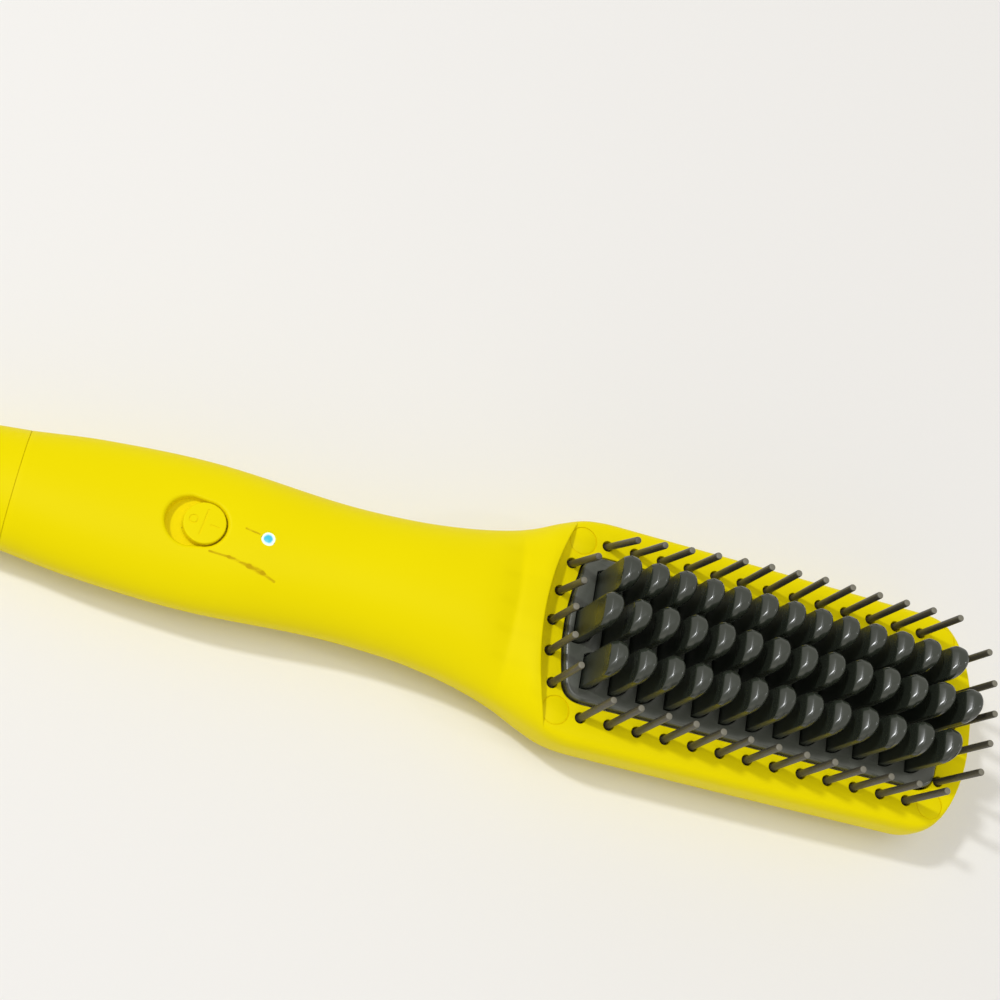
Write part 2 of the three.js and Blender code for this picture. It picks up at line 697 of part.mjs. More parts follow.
function endCap() {
  const end = HANDLE_END - CAP_LENGTH;
  const centre = new THREE.Vector2(0, SWIVEL_Z);
  const along = spread(0, 1, 6).map((t) => Math.sin((t * Math.PI) / 2));
  const ringAt = (t, inset) => {
    const base = section(HANDLE_END, inset, inset ? RING / 2 : RING);
    const x = HANDLE_END - GAP - (CAP_LENGTH - GAP - inset) * t;
    const scale = 1 - CAP_TAPER * t - CAP_ROUND * (1 - Math.sqrt(1 - t ** 6));
    return base.map((p) => new THREE.Vector3(
      x, centre.x + (p.y - centre.x) * scale, centre.y + (p.z - centre.y) * scale,
    ));
  };
  const outer = solid(loft(along.map((t) => ringAt(t, 0)).reverse()));
  const inner = solid(loft(along.map((t) => ringAt(t, WALL)).reverse()));
  const mouth = section(HANDLE_END, WALL, RING / 2);
  const start = mouth.map((p) => new THREE.Vector3(HANDLE_END - 3, p.y, p.z));
  const open = solid(loft([start, mouth]));
  const collarRing = (x, inset) => section(HANDLE_END, inset, RING / 2)
    .map((p) => new THREE.Vector3(x, p.y, p.z));
  const collarInset = WALL + GAP;
  const collar = cut(
    solid(loft([collarRing(HANDLE_END - 4, collarInset), collarRing(HANDLE_END + CAP_COLLAR, collarInset)])),
    [solid(loft([
      collarRing(HANDLE_END - 5, collarInset + CAP_COLLAR_WALL),
      collarRing(HANDLE_END + CAP_COLLAR + 1, collarInset + CAP_COLLAR_WALL),
    ]))],
  );
  const shell = cut(outer, [inner, open]);
  const bore = axle(end - 2, end + 6, 0, SWIVEL_Z, SWIVEL_RADIUS + SWIVEL_CLEARANCE + 0.05, 20);
  const web = cut(
    solid(loft([collarRing(HANDLE_END - 3.2, WALL - 0.6), collarRing(HANDLE_END - 1.6, WALL - 0.6)])),
    [solid(loft([
      collarRing(HANDLE_END - 6, collarInset + CAP_COLLAR_WALL),
      collarRing(HANDLE_END + 1, collarInset + CAP_COLLAR_WALL),
    ]))],
  );
  return cut(join([shell, web, collar]), [FLAT_CUT, bore]);
}

const capInside = HANDLE_END - CAP_LENGTH + WALL;

function swivel() {
  const out = HANDLE_END - CAP_LENGTH - SWIVEL_REACH;
  const flangeStart = capInside + SWIVEL_CLEARANCE;
  const r = SWIVEL_RADIUS;
  const profile = [
    [0, out], [r - 1.2, out], [r - 0.3, out + 0.9], [r, out + 2],
    [r, flangeStart], [r + SWIVEL_LIP, flangeStart], [r + SWIVEL_LIP, flangeStart + 1.5],
    [0, flangeStart + 1.5],
  ].map(([radius, x]) => new THREE.Vector2(radius, x));
  const g = new THREE.LatheGeometry(profile, 20);
  g.rotateZ(-Math.PI / 2);
  g.translate(0, 0, SWIVEL_Z);
  return solid(g);
}

const blockStart = capInside + SWIVEL_CLEARANCE + 1.5 + GAP;
const blockEnd = blockStart + BLOCK_LENGTH;

const { front, back } = shells();
place("front_shell", front, YELLOW);
place("back_shell", back, YELLOW);
place("end_cap", endCap(), YELLOW);
place("cord_swivel", swivel(), DARK_GREY);
place("contact_block", axle(blockStart, blockEnd, 0, SWIVEL_Z, SWIVEL_RADIUS + 1, 16), BLACK);

place("switch_knob", knob(), YELLOW);
place("switch_slider", slider(), BLACK);
place("switch_body", slopeBox(
  -SWITCH_BEHIND, SWITCH_AHEAD, SWITCH_HALF, SWITCH_BOTTOM, SWITCH_TOP,
), BLACK);

const board = box(BOARD_START, boardEnd, -BOARD_HALF, BOARD_HALF, boardBottom, BOARD_TOP);
place("control_board", board.subtract(slopeBox(
  -SWITCH_BEHIND - SWITCH_ROOM, SWITCH_AHEAD + SWITCH_ROOM, SWITCH_HALF + SWITCH_ROOM,
  SWITCH_BOTTOM - SWITCH_ROOM, 0,
)), BOARD);
const ledTop = LED_Z - 5.6;
place("status_led", post(LED_X, 0, BOARD_TOP + GAP, ledTop, LENS_RADIUS, 14), CERAMIC);
const lensBody = post(LED_X, 0, ledTop + GAP, LED_Z - 0.05, LENS_RADIUS, 20);
place("led_lens", lensBody, LENS);

place("cover_plate", coverPlate(), DARK_GREY);
for (const row of rows) {
  place(`tooth_row_${row.name}`, toothRow(row), DARK_GREY);
}

function heatTray() {
  const outer = slab(plateShape(-TRAY_INSET), trayBottom, STRIP_TOP, 6);
  const lip = slab(plateShape(WINDOW_GAP + TRAY_LIP), STRIP_TOP - 1.2, STRIP_TOP, 6)
    .intersect(box(-TRAY_LIP_REACH, TRAY_LIP_REACH, -30, 30, -10, 0));
  const room = slab(plateShape(-TRAY_INSET - TRAY_WALL), trayFloor, 5, 6);
  const leadHoles = [-5, 5].map((y) => axle(-60, -40, y, heaterTop - 1.2, LEAD_RADIUS + GAP, 10));
  return cut(join([outer, lip]), [room, ...leadHoles]);
}
place("heat_tray", heatTray(), TRAY);

const spreaderShape = plateShape(-TRAY_INSET - TRAY_WALL - SPREADER_GAP);
place("heat_spreader", slab(spreaderShape, spreaderBottom, spreaderTop), ALUMINIUM);
const heaterGap = 5;
const heaterHalf = HEATER_WIDTH / 2;
const heater = (x0, x1) => box(x0, x1, -heaterHalf, heaterHalf, heaterBottom, heaterTop);
const heaterRear = PLATE_CENTRE - heaterGap;
const heaterFront = PLATE_CENTRE + heaterGap;
place("heater_neck", heater(heaterRear - HEATER_LENGTH, heaterRear), CERAMIC);
place("heater_tip", heater(heaterFront, heaterFront + HEATER_LENGTH), CERAMIC);

function acrossPin(radius, y0, y1) {
  const g = new THREE.CylinderGeometry(radius, radius, y1 - y0, 12);
  g.translate(PLATE_CENTRE, (y0 + y1) / 2, heaterTop - radius);
  return solid(g);
}
place("thermal_fuse", acrossPin(FUSE_RADIUS, -9, -1), STEEL);
place("thermistor", acrossPin(FUSE_RADIUS * 0.8, 2, 7), BLACK);

const sheetReach = HEATER_LENGTH + heaterGap;
const flat = (reach, half, z0, z1) => box(PLATE_CENTRE - reach, PLATE_CENTRE + reach, -half, half, z0, z1);
place("insulation_sheet", flat(sheetReach, heaterHalf, sheetBottom, sheetTop), MICA);
place("heater_clamp", flat(sheetReach - 4, heaterHalf - 3, clampBottom, clampTop), STEEL);

place("bristles_left", straightStrip(strips.left), PIN_GREY);
place("bristles_right", straightStrip(strips.right), PIN_GREY);
place("bristles_neck", curvedStrip(strips.neck, -1), PIN_GREY);
place("bristles_tip", curvedStrip(strips.tip, 1), PIN_GREY);

for (const [name, x, y] of screws) {
  const head = post(x, y, screwTop - SCREW_HEAD_DEPTH, screwTop, SCREW_HEAD, 12);
  const shank = post(x, y, SCREW_END, screwTop - 1, SCREW_SHANK, 8);
  place(`screw_${name}`, head.add(shank), STEEL);
  place(`plug_${name}`, post(x, y, plugBottom, 0, PLUG_RADIUS, 20), YELLOW);
}

const leadZ = heaterTop - 1.2;
for (const [name, s] of [["left", 1], ["right", -1]]) {
  place(`heater_lead_${name}`, lead([
    [boardEnd + 0.5, s * 4, BOARD_TOP - 1], [-90, s * 5, -9], [-70, s * 5, leadZ - 0.6],
    [-58, s * 5, leadZ], [heaterRear - HEATER_LENGTH - 0.5, s * 5, leadZ],
  ]), LEAD_RED);
  place(`mains_lead_${name}`, lead([
    [blockEnd + 0.4, s * 3, SWIVEL_Z], [-181, s * 3.5, -9], [BOARD_START - 0.5, s * 4, BOARD_TOP - 1],
  ]), BLACK);
}

group.position.set(0, 0, BACK_DEPTH);

export default group;
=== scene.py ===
"""Looks of a heated hair straightening brush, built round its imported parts.

Sizes are millimetres in the brush's own frame: x along it towards the tip of
the head, y across it and z up. Heights count from the face of the head, which
lies FACE above the table. Everything becomes metres in place().
"""

import math

import bmesh
import bpy
from mathutils import Matrix, Vector


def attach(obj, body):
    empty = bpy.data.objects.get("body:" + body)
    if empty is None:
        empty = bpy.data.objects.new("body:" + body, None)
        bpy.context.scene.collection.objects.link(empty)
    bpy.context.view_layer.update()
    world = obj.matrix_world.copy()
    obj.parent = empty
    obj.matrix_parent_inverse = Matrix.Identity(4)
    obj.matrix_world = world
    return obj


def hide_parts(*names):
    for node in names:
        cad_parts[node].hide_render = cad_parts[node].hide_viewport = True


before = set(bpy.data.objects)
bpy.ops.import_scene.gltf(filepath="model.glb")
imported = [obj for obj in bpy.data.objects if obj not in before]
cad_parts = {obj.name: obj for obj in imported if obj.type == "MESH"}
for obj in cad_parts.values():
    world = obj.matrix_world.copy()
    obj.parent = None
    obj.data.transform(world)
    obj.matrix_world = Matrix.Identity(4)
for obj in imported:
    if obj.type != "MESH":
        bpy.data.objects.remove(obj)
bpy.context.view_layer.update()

MM = 0.001
FACE = 21.0
QUARTER = math.pi / 2

# Points closer than this, in metres, become one, and sharper edges than this stay sharp
WELD = 1e-7
SHARP = math.radians(32)

# Points round each form. Where lines and bends make an outline, that is the sum of their steps
SKIN_SIDES = 176
CAVITY_SIDES = 72
SLOT_SIDES = 72
KNOB_SIDES = 96
MARK_SIDES = 40
LAMP_SIDES = 40
SWIVEL_SIDES = 64
PLATE_SIDES = 96
TOOTH_SIDES = 30
HOLE_SIDES = 24
BRISTLE_SIDES = 20
WELL_SIDES = 24
PLUG_SIDES = 48

# Housing
WALL = 2.2
GAP = 0.3
HANDLE_END = -176.0
HEAD_END = 57.8
END_ROUND = 15.0
END_BULGE = 0.3
END_CLOSE = 0.9939
HEAD_HALF = 27.9
FULLEST = -6.0
PARTING = -10.0
BACK = -21.0
RECESS_X = -55.6
RECESS_RADIUS = 58.0
STEP_WALL = 1.8
RIM_SOFT = 1.3
CREST_ROUND = 0.5

# Where the rings of the housing start to follow the step, do so fully, and stop again
FOLLOW_START = -84.0
FOLLOW_FULL = -60.0
FOLLOW_FADE = -50.0
FOLLOW_END = -36.0

# Powers by which width, crown and back close round the end of the head
CLOSE_WIDTH = (2.8, 0.55)
CLOSE_CROWN = (20, 0.5)
CLOSE_BACK = (8, 0.5)

# End cap and swivel
CAP_LENGTH = 24.0
CAP_TAPER = 0.18
CAP_ROUND = 0.12
SEAM = 0.03
SEAM_CHAMFER = 0.2
BORE_CHAMFER = 0.25
SWIVEL_RADIUS = 4.6
SWIVEL_REACH = 7.0
SWIVEL_Z = -10.0
FLANGE_GAP = 0.25
FLANGE_WIDE = 1.0
FLANGE_THICK = 1.5

# Slide switch and light
KNOB_X = -135.0
KNOB_Z = 2.75
KNOB_RADIUS = 4.75
KNOB_ROUND = 0.3
KNOB_DEPTH = 1.6
KNOB_TRAVEL = 3.0
KNOB_SLOPE = math.radians(3.2)
RECESS_SIDE = 0.4
RECESS_FLARE = 0.5
RECESS_FLOOR = -2.8
RECESS_SOFT = 0.9
PAD_SIDE = 1.6
PAD_TOP = -1.0
PAD_BOTTOM = -3.8
STEM = 2.4
STEM_LENGTH = 3.1
STEM_GAP = 0.4
LED_X = -120.65
LED_Z = 3.55
LENS_RADIUS = 1.5
LENS_GAP = 0.15
LENS_DEPTH = 5.3

# Marks in the knob: the ring by its centre and radius, the bars by their ends, all by width
MARK_DEPTH = 0.17
MARK_RING = (-2.5, 0.3, 0.9, 0.3)
MARK_BARS = [(0.25, 3.2, -0.55, -2.9, 0.42), (1.3, -0.2, 3.4, -0.45, 0.32)]

# Plate and teeth
PITCH = 6.98
ROW_SPACING = 10.2
TOOTH_COUNT = 13
TOOTH_FIRST = -43.41
TOOTH_HEIGHT = 18.3
MIDDLE_EXTRA = 1.7
TOOTH_THICK = 4.4
TOOTH_HOLE = 0.35
FRONT_EDGE = 0.2
BAR_HALF = 3.7
BAR_TOP = -1.8
BAR_DEPTH = 2.0
BAR_SHORT = 0.6
BAR_JOIN = 0.4
PLATE_CENTRE = 0.5
PLATE_LENGTH = 98.8
PLATE_WIDTH = 35.2
PLATE_CORNER = 5.5
PLATE_BOW = 1.4
PLATE_RISE = 1.3
PLATE_THICK = 2.8
PLATE_ROUND = 0.9
PLATE_CHAMFER = 0.4
WINDOW_GAP = 0.5

# Bristles
SIDE_BRISTLES = 13
END_BRISTLES = 5
BRISTLE_ROW = 21.15
BRISTLE_RADIUS = 0.85
BRISTLE_HEIGHT = 17.1
BRISTLE_HOLE = 0.45
TIP_ROUND = 0.3
TIP_SHOULDER = 0.45
END_COLUMN = 52.3
END_PITCH = 7.35
END_SAG = 2.4
STRIP_HALF = 1.6
STRIP_TOP = -2.5
STRIP_DEPTH = 2.0
STRIP_JOIN = 0.6

# Lean of teeth and bristles, with the shares before and beyond the middle of the head
LEAN_RIGHTWARD = 0.75
LEAN_INWARD = 1.65
LEAN_START = 7.0
LEAN_POWER = 1.35
SPLAY_START = 5.0
SPLAY_REACH = 37.0
SPLAY_POWERS = (1.2, 1.6)
BRISTLE_SPLAY = (1.55, 1.0)
TOOTH_SPLAY = (0.65, 1.1)

# Screws and their plugs
SCREW_X = 48.1
SCREW_Y = 20.8
PLUG_RADIUS = 3.25
PLUG_DEPTH = 1.2
PLUG_GAP = 0.2
PLUG_SKIRT = 0.18

# Rounding of the edges of the window, the tooth holes and the bristle holes
EDGE = 0.22
HOLE_EDGE = 0.18
WELL_EDGE = 0.15

# Scuffs beside the switch: from one point to another, and how wide
SCUFFS = [
    ((-125.9, 1.1), (-122.8, 0.5), 0.5), ((-132.5, -5.9), (-128.0, -6.1), 0.5),
    ((-128.0, -6.1), (-123.3, -7.0), 0.75), ((-123.3, -7.0), (-120.2, -7.7), 1.05),
    ((-120.2, -7.7), (-117.2, -8.9), 0.6),
]

# Heights between which the teeth lose their dull flanks
DULL_LOW = 10.0
DULL_HIGH = 16.0

# Table, sky and lamps, in metres. A lamp has its direction, width, height, watts and colour
TABLE_RADIUS = 4.0
TABLE_DROP = 0.0004
SKY_LIGHT = 0.46
SKY_COLOUR = (1.0, 0.965, 0.91, 1.0)
LAMP_AWAY = 2.4
WHITE = (0.97, 0.98, 1.0)
WARM = (1.0, 0.93, 0.72)
LAMPS = {
    "key": ((-0.60, 0.14, 0.80), 0.16, 0.16, 17.5, WHITE),
    "streak": ((-0.60, 0.08, 0.80), 0.8, 0.1, 3.5, WHITE),
    "second": ((0.72, -0.08, 0.66), 0.1, 0.1, 2.2, WHITE),
    "overhead": ((-0.1, -0.05, 1.0), 1.3, 1.3, 12.0, WHITE),
    "front": ((0.1, -0.9, 0.4), 1.6, 1.6, 3.0, WARM),
}

# Camera: its lens and sensor in millimetres, how far it sees and where it is in metres
CAMERA_LENS = 60.98
CAMERA_SENSOR = 36.0
CAMERA_SIGHT = 20.0
EYE = (-0.1568, -0.1194, 0.3806)
EYE_RIGHT = (0.9394, 0.1722, 0.2963)
EYE_UP = (-0.2637, 0.9154, 0.3041)
EYE_FORWARD = (0.2189, 0.3638, -0.9054)


def place(x, y, z):
    """A point of the brush, in metres above the table."""
    return Vector((x, y, z + FACE)) * MM


def smooth(t):
    """A soft step from 0 to 1."""
    t = min(max(t, 0.0), 1.0)
    return t * t * (3 - 2 * t)


def curve(*points):
    """A smooth curve through a few (x, value) points."""
    slopes = []
    for i in range(len(points)):
        a, b = points[max(i - 1, 0)], points[min(i + 1, len(points) - 1)]
        slopes.append((b[1] - a[1]) / (b[0] - a[0]))

    def value(x):
        i = 0
        while i < len(points) - 2 and x > points[i + 1][0]:
            i += 1
        (x0, v0), (x1, v1) = points[i], points[i + 1]
        h = x1 - x0
        t = min(max((x - x0) / h, 0.0), 1.0)
        left = h * slopes[i] * t * (1 - t) ** 2
        right = h * slopes[i + 1] * t * t * (t - 1)
        return v0 + (v1 - v0) * smooth(t) + left + right

    return value


def spread(start, end, steps):
    """Evenly spaced values from start to end."""
    return [start + (end - start) * i / steps for i in range(steps + 1)]


def rounding(across, steps, down=None):
    """A rounded edge as (inwards, down) pairs, from the side up to the top."""
    down = across if down is None else down
    turns = spread(0, QUARTER, steps)
    return [(across * (1 - math.cos(a)), down * (1 - math.sin(a))) for a in turns]


# Form of the housing

half_width = curve(
    (-176, 13.7), (-160, 15.9), (-135, 17.3), (-105, 15.8), (-88, 16.3), (-76, 17.8),
    (-67, 19.7), (-60, 21.9), (-53, 25), (-47, 27.2), (-40, HEAD_HALF),
    (HEAD_END, HEAD_HALF - 0.3),
)
crest = curve(
    (-176, 1.2), (-155, 2.1), (KNOB_X, KNOB_Z), (LED_X, LED_Z), (-90, 4.6),
    (-72, 5.0), (-67, 4.8), (-63.4, 4.2), (-62.2, 4.05), (-60.6, 4.45), (-57, 5.1),
    (-55, 5.15), (-44, 3), (HEAD_END, 3),
)
fullest = curve(
    (-176, -8.5), (-140, -7.1), (-100, -7), (-75, -6.4), (-50, FULLEST), (HEAD_END, FULLEST),
)
keel = curve(
    (-176, -21.2), (-150, -21.6), (-110, -21.4), (-80, -20.6), (-50, -21.2), (-30, -21.7),
    (HEAD_END, -21.7),
)
crown_power = curve((-176, 2.1), (-90, 2.1), (-60, 2.3), (-48, 3.5), (HEAD_END, 3.5))
back_power = curve((-176, 2.2), (-90, 2.2), (-50, 2.9), (HEAD_END, 2.9))


def closing(t, powers):
    """How much of a size is left, from 1 at the start of the end's rounding to 0 at its close."""
    return (1 - t ** powers[0]) ** powers[1]


def section(x, angle, inset=0.0):
    """Where the housing's skin is at x, at an angle round the section."""
    tip = HEAD_END + END_BULGE - inset
    t = min(max((x - tip + END_ROUND) / END_ROUND, 0.0), END_CLOSE)
    mid = fullest(x)
    half = (min(half_width(x), HEAD_HALF) - inset) * closing(t, CLOSE_WIDTH)
    c, s = math.cos(angle), math.sin(angle)
    if s > 0:
        reach = (crest(x) - mid - inset) * closing(t, CLOSE_CROWN)
        power = crown_power(x)
    else:
        reach = (mid - keel(x) - inset) * closing(t, CLOSE_BACK)
        power = back_power(x)
    y = half * math.copysign(abs(c) ** (2 / power), c)
    z = mid + reach * math.copysign(abs(s) ** (2 / power), s)
    return y, max(z, BACK + inset)


def recess_edge(y):
    """Where the crescent-shaped step between neck and face stands."""
    return RECESS_X + RECESS_RADIUS - math.sqrt(RECESS_RADIUS**2 - y**2)


def follow(x):
    """How closely the rings follow the step, from 0 to 1."""
    rise = smooth((x - FOLLOW_START) / (FOLLOW_FULL - FOLLOW_START))
    return rise * (1 - smooth((x - FOLLOW_FADE) / (FOLLOW_END - FOLLOW_FADE)))


def levelled(z):
    """Brings what stands above the face down to it, through a soft rim."""
    if z < -RIM_SOFT:
        return z
    if z < RIM_SOFT:
        return z - (z + RIM_SOFT) ** 2 / (4 * RIM_SOFT)
    return 0.0


def skin_point(x, angle, inset):
    """The outside of the housing, with the face let into the head."""
    along = x
    y, z = section(along, angle, inset)
    for _ in range(4):
        along = x + follow(x) * (recess_edge(y) - RECESS_X)
        y, z = section(along, angle, inset)
    if math.sin(angle) <= 0:
        return place(along, y, z)
    flat = levelled(z)
    beyond = x - RECESS_X
    if beyond < 0:
        dip = max(beyond + CREST_ROUND, 0)
        drop = CREST_ROUND - math.sqrt(CREST_ROUND**2 - dip**2)
        flat = max(flat, z - drop)
    return place(along, y, flat)


# Making meshes


def loft(sides, levels, where):
    """Extrudes a ring from level to level and closes both ends.

    where(turn, level) says where each point goes, turn being its share of the way round.
    """
    bm = bmesh.new()
    ring = bmesh.ops.create_circle(bm, segments=sides, radius=1.0)["verts"]
    turns = {v: i / sides for i, v in enumerate(ring)}
    rim = list(bm.edges)
    for v, turn in turns.items():
        v.co = where(turn, levels[0])
    for level in levels[1:]:
        grown = bmesh.ops.extrude_edge_only(bm, edges=rim)["geom"]
        fresh = {}
        for v in (g for g in grown if isinstance(g, bmesh.types.BMVert)):
            old = next(e.other_vert(v) for e in v.link_edges if e.other_vert(v) in turns)
            fresh[v] = turns[old]
        edges = [g for g in grown if isinstance(g, bmesh.types.BMEdge)]
        rim = [e for e in edges if all(v in fresh for v in e.verts)]
        for v, turn in fresh.items():
            v.co = where(turn, level)
        turns = fresh
    bmesh.ops.remove_doubles(bm, verts=bm.verts, dist=WELD)
    bmesh.ops.holes_fill(bm, edges=[e for e in bm.edges if e.is_boundary], sides=0)
    bmesh.ops.recalc_face_normals(bm, faces=bm.faces)
    return bm


def stack(outline, levels, sides):
    """A solid with an outline(turn, margin) at each level, which has a margin and a height."""
    def where(turn, level):
        margin, z = level
        x, y = outline(turn, margin)
        return place(x, y, z)

    return loft(sides, levels, where)


def lathe(profile, centre, sides):
    """A turned solid about an upright axis. A profile that ends off the axis is closed flat."""
    x0, y0 = centre

    def where(turn, level):
        r, z = level
        a = turn * math.tau
        return place(x0 + r * math.cos(a), y0 + r * math.sin(a), z)

    return loft(sides, profile, where)


def block(x0, x1, y0, y1, z0, z1):
    """A plain box, as a cutter or as a bar."""
    bm = bmesh.new()
    bmesh.ops.create_cube(bm, size=1.0)
    bmesh.ops.scale(bm, vec=Vector((x1 - x0, y1 - y0, z1 - z0)) * MM, verts=bm.verts)
    middle = place((x0 + x1) / 2, (y0 + y1) / 2, (z0 + z1) / 2)
    bmesh.ops.translate(bm, vec=middle, verts=bm.verts)
    return bm


def halve(bm, z, keep_above):
    """Keeps one side of a level cut and closes it."""
    geom = bm.verts[:] + bm.edges[:] + bm.faces[:]
    cut = bmesh.ops.bisect_plane(
        bm, geom=geom, plane_co=place(0, 0, z), plane_no=(0, 0, 1),
        clear_inner=keep_above, clear_outer=not keep_above,
    )
    edges = [e for e in cut["geom_cut"] if isinstance(e, bmesh.types.BMEdge)]
    bmesh.ops.holes_fill(bm, edges=edges, sides=0)
    bmesh.ops.recalc_face_normals(bm, faces=bm.faces)
    return bm


def swing(bm, pivot, turn, shift):
    """Turns a mesh about a point, then shifts it. Point and shift are in metres."""
    there = Matrix.Translation(pivot)
    bm.transform(Matrix.Translation(shift) @ there @ turn @ Matrix.Translation(-pivot))
    return bm


def merge(parts):
    """Several meshes in one."""
    whole = bmesh.new()
    for part in parts:
        data = bpy.data.meshes.new("part")
        part.to_mesh(data)
        part.free()
        whole.from_mesh(data)
        bpy.data.meshes.remove(data)
    return whole


def raw_object(name, bm):
    """Puts a mesh into the scene as an object."""
    data = bpy.data.meshes.new(name)
    bm.to_mesh(data)
    bm.free()
    obj = bpy.data.objects.new(name, data)
    bpy.context.scene.collection.objects.link(obj)
    return obj


def carve(obj, tools, operation="DIFFERENCE"):
    """Cuts the tools out of a piece, or joins them to it."""
    cutter = raw_object("cutter", merge(tools))
    modifier = obj.modifiers.new("carve", "BOOLEAN")
    modifier.operation = operation
    modifier.solver = "MANIFOLD"
    modifier.object = cutter
    graph = bpy.context.evaluated_depsgraph_get()
    made = bpy.data.meshes.new_from_object(obj.evaluated_get(graph))
    obj.modifiers.clear()
    obj.data = made
    bpy.data.objects.remove(cutter)


def piece(obj, look, body, slot, *nodes):
    """Finishes a piece: smooth shading, its material, its body and what it stands for."""
    data = obj.data
    data.materials.clear()
    data.materials.append(look)
    data.shade_smooth()
    data.set_sharp_from_angle(angle=SHARP)
    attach(obj, body)
    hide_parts(*nodes)


# Outlines


def circle(cx, cy, radius):
    """An outline for stack()."""
    def outline(turn, margin):
        a = turn * math.tau
        r = radius + margin
        return cx + r * math.cos(a), cy + r * math.sin(a)

    return outline


def walk(pieces, turn):
    """A point on an outline made of lines and bends, each with its number of steps."""
    steps = sum(count for count, _ in pieces)
    rest = (turn % 1.0) * steps
    for count, at in pieces:
        if rest < count - 1e-6:
            return at(rest / count)
        rest -= count
    return pieces[0][1](0.0)


def line(count, p, q):
    """A straight line from p to q."""
    return count, lambda t: tuple(a + (b - a) * t for a, b in zip(p, q))


def bend(count, p, q, r):
    """A quadratic bend from p to r that leans on q."""
    return count, lambda t: tuple(
        (1 - t) ** 2 * a + 2 * t * (1 - t) * b + t * t * c for a, b, c in zip(p, q, r)
    )


def quarter(count, cx, cy, r, start):
    """A quarter of a circle that starts after a number of quarter turns."""
    def at(t):
        a = (start + t) * QUARTER
        return cx + r * math.cos(a), cy + r * math.sin(a)

    return count, at


def plate_outline(turn, margin):
    """Rounded rectangle with bowed ends."""
    half = PLATE_WIDTH / 2 + margin
    end = PLATE_LENGTH / 2 + margin
    r = PLATE_CORNER + margin
    side = end - PLATE_BOW - r
    c = PLATE_CENTRE
    left, right = c - side - r, c + side + r
    return walk([
        line(8, (c + side, half), (c - side, half)),
        bend(10, (c - side, half), (left, half), (left, half - r)),
        bend(20, (left, half - r), (c - end - PLATE_BOW, 0), (left, r - half)),
        bend(10, (left, r - half), (left, -half), (c - side, -half)),
        line(8, (c - side, -half), (c + side, -half)),
        bend(10, (c + side, -half), (right, -half), (right, r - half)),
        bend(20, (right, r - half), (c + end + PLATE_BOW, 0), (right, half - r)),
        bend(10, (right, half - r), (right, half), (c + side, half)),
    ], turn)


def slot_outline(turn, margin):
    """The knob's path in its own plane, a little wider at the far end."""
    a = turn * math.tau
    far = math.cos(a) < 0
    r = KNOB_RADIUS + margin + (RECESS_FLARE if far else 0.0)
    x = r * math.cos(a) - (KNOB_TRAVEL if far else 0.0)
    return x, r * math.sin(a)


def on_slope(bm):
    """Tilts a mesh made flat at the knob's place to the slope of the handle."""
    pivot = place(0, 0, 0)
    turn = Matrix.Rotation(-KNOB_SLOPE, 4, "Y")
    return swing(bm, pivot, turn, place(KNOB_X, 0, KNOB_Z) - pivot)


def flared(depth, top=2.0, radius=EDGE, steps=4):
    """Levels of a cutter that leaves a softly rounded edge at the face."""
    edge = [(outward, -down) for outward, down in rounding(radius, steps)]
    return [(0.0, -depth)] + edge + [(radius, top)]


# Bristles


def end_column(side, y):
    """Where the bowed column of bristles at the neck (-1) or the tip (1) stands."""
    return side * (END_COLUMN - END_SAG * (y / END_PITCH / 2) ** 2)


def bristle_places():
    """The foot of each bristle, row by row."""
    along = [i * PITCH - SIDE_BRISTLES // 2 * PITCH for i in range(SIDE_BRISTLES)]
    across = [(i - END_BRISTLES // 2) * END_PITCH for i in range(END_BRISTLES)]
    return {
        "left": [(x, BRISTLE_ROW) for x in along],
        "right": [(x, -BRISTLE_ROW) for x in along],
        "neck": [(end_column(-1, y), y) for y in across],
        "tip": [(end_column(1, y), y) for y in across],
    }


def splay(x, shares):
    """How far a tip leans towards the far end of the head."""
    share = max(0.0, abs(x) - SPLAY_START) / SPLAY_REACH
    side = 0 if x < 0 else 1
    return shares[side] * share ** SPLAY_POWERS[side]


def slant(x, y):
    """How far a tip leans across the head: inwards, and most beside the handle."""
    near = max(0.0, LEAN_START - x) / (SPLAY_REACH + SPLAY_START)
    return -(near**LEAN_POWER) * (LEAN_RIGHTWARD + LEAN_INWARD * y / BRISTLE_ROW)


def lean(x, y):
    """How far a bristle's tip leans along and across the head."""
    outer = min(1.0, abs(y) / BRISTLE_ROW)
    return splay(x, BRISTLE_SPLAY) * (outer**2 if x < 0 else 1.0), slant(x, y)


def bristle(x, y):
    """A thin round rod with a soft shoulder and a flat tip."""
    foot = STRIP_TOP - STRIP_JOIN
    profile = [(0, foot), (BRISTLE_RADIUS, foot)]
    for inward, down in rounding(TIP_ROUND, 3, TIP_SHOULDER):
        profile.append((BRISTLE_RADIUS - inward, BRISTLE_HEIGHT - down))
    profile.append((0, BRISTLE_HEIGHT))
    dx, dy = lean(x, y)
    sideways = Matrix.Rotation(-math.atan2(dy, BRISTLE_HEIGHT), 4, "X")
    lengthways = Matrix.Rotation(math.atan2(dx, BRISTLE_HEIGHT), 4, "Y")
    rod = lathe(profile, (0, 0), BRISTLE_SIDES)
    return swing(rod, place(0, 0, -WALL / 2), sideways @ lengthways, Vector((x, y, 0)) * MM)


def side_strip(y):
    """The straight moulded strip that a side row stands on."""
    reach = SIDE_BRISTLES // 2 * PITCH + STRIP_HALF
    return block(-reach, reach, y - STRIP_HALF, y + STRIP_HALF, STRIP_TOP - STRIP_DEPTH, STRIP_TOP)


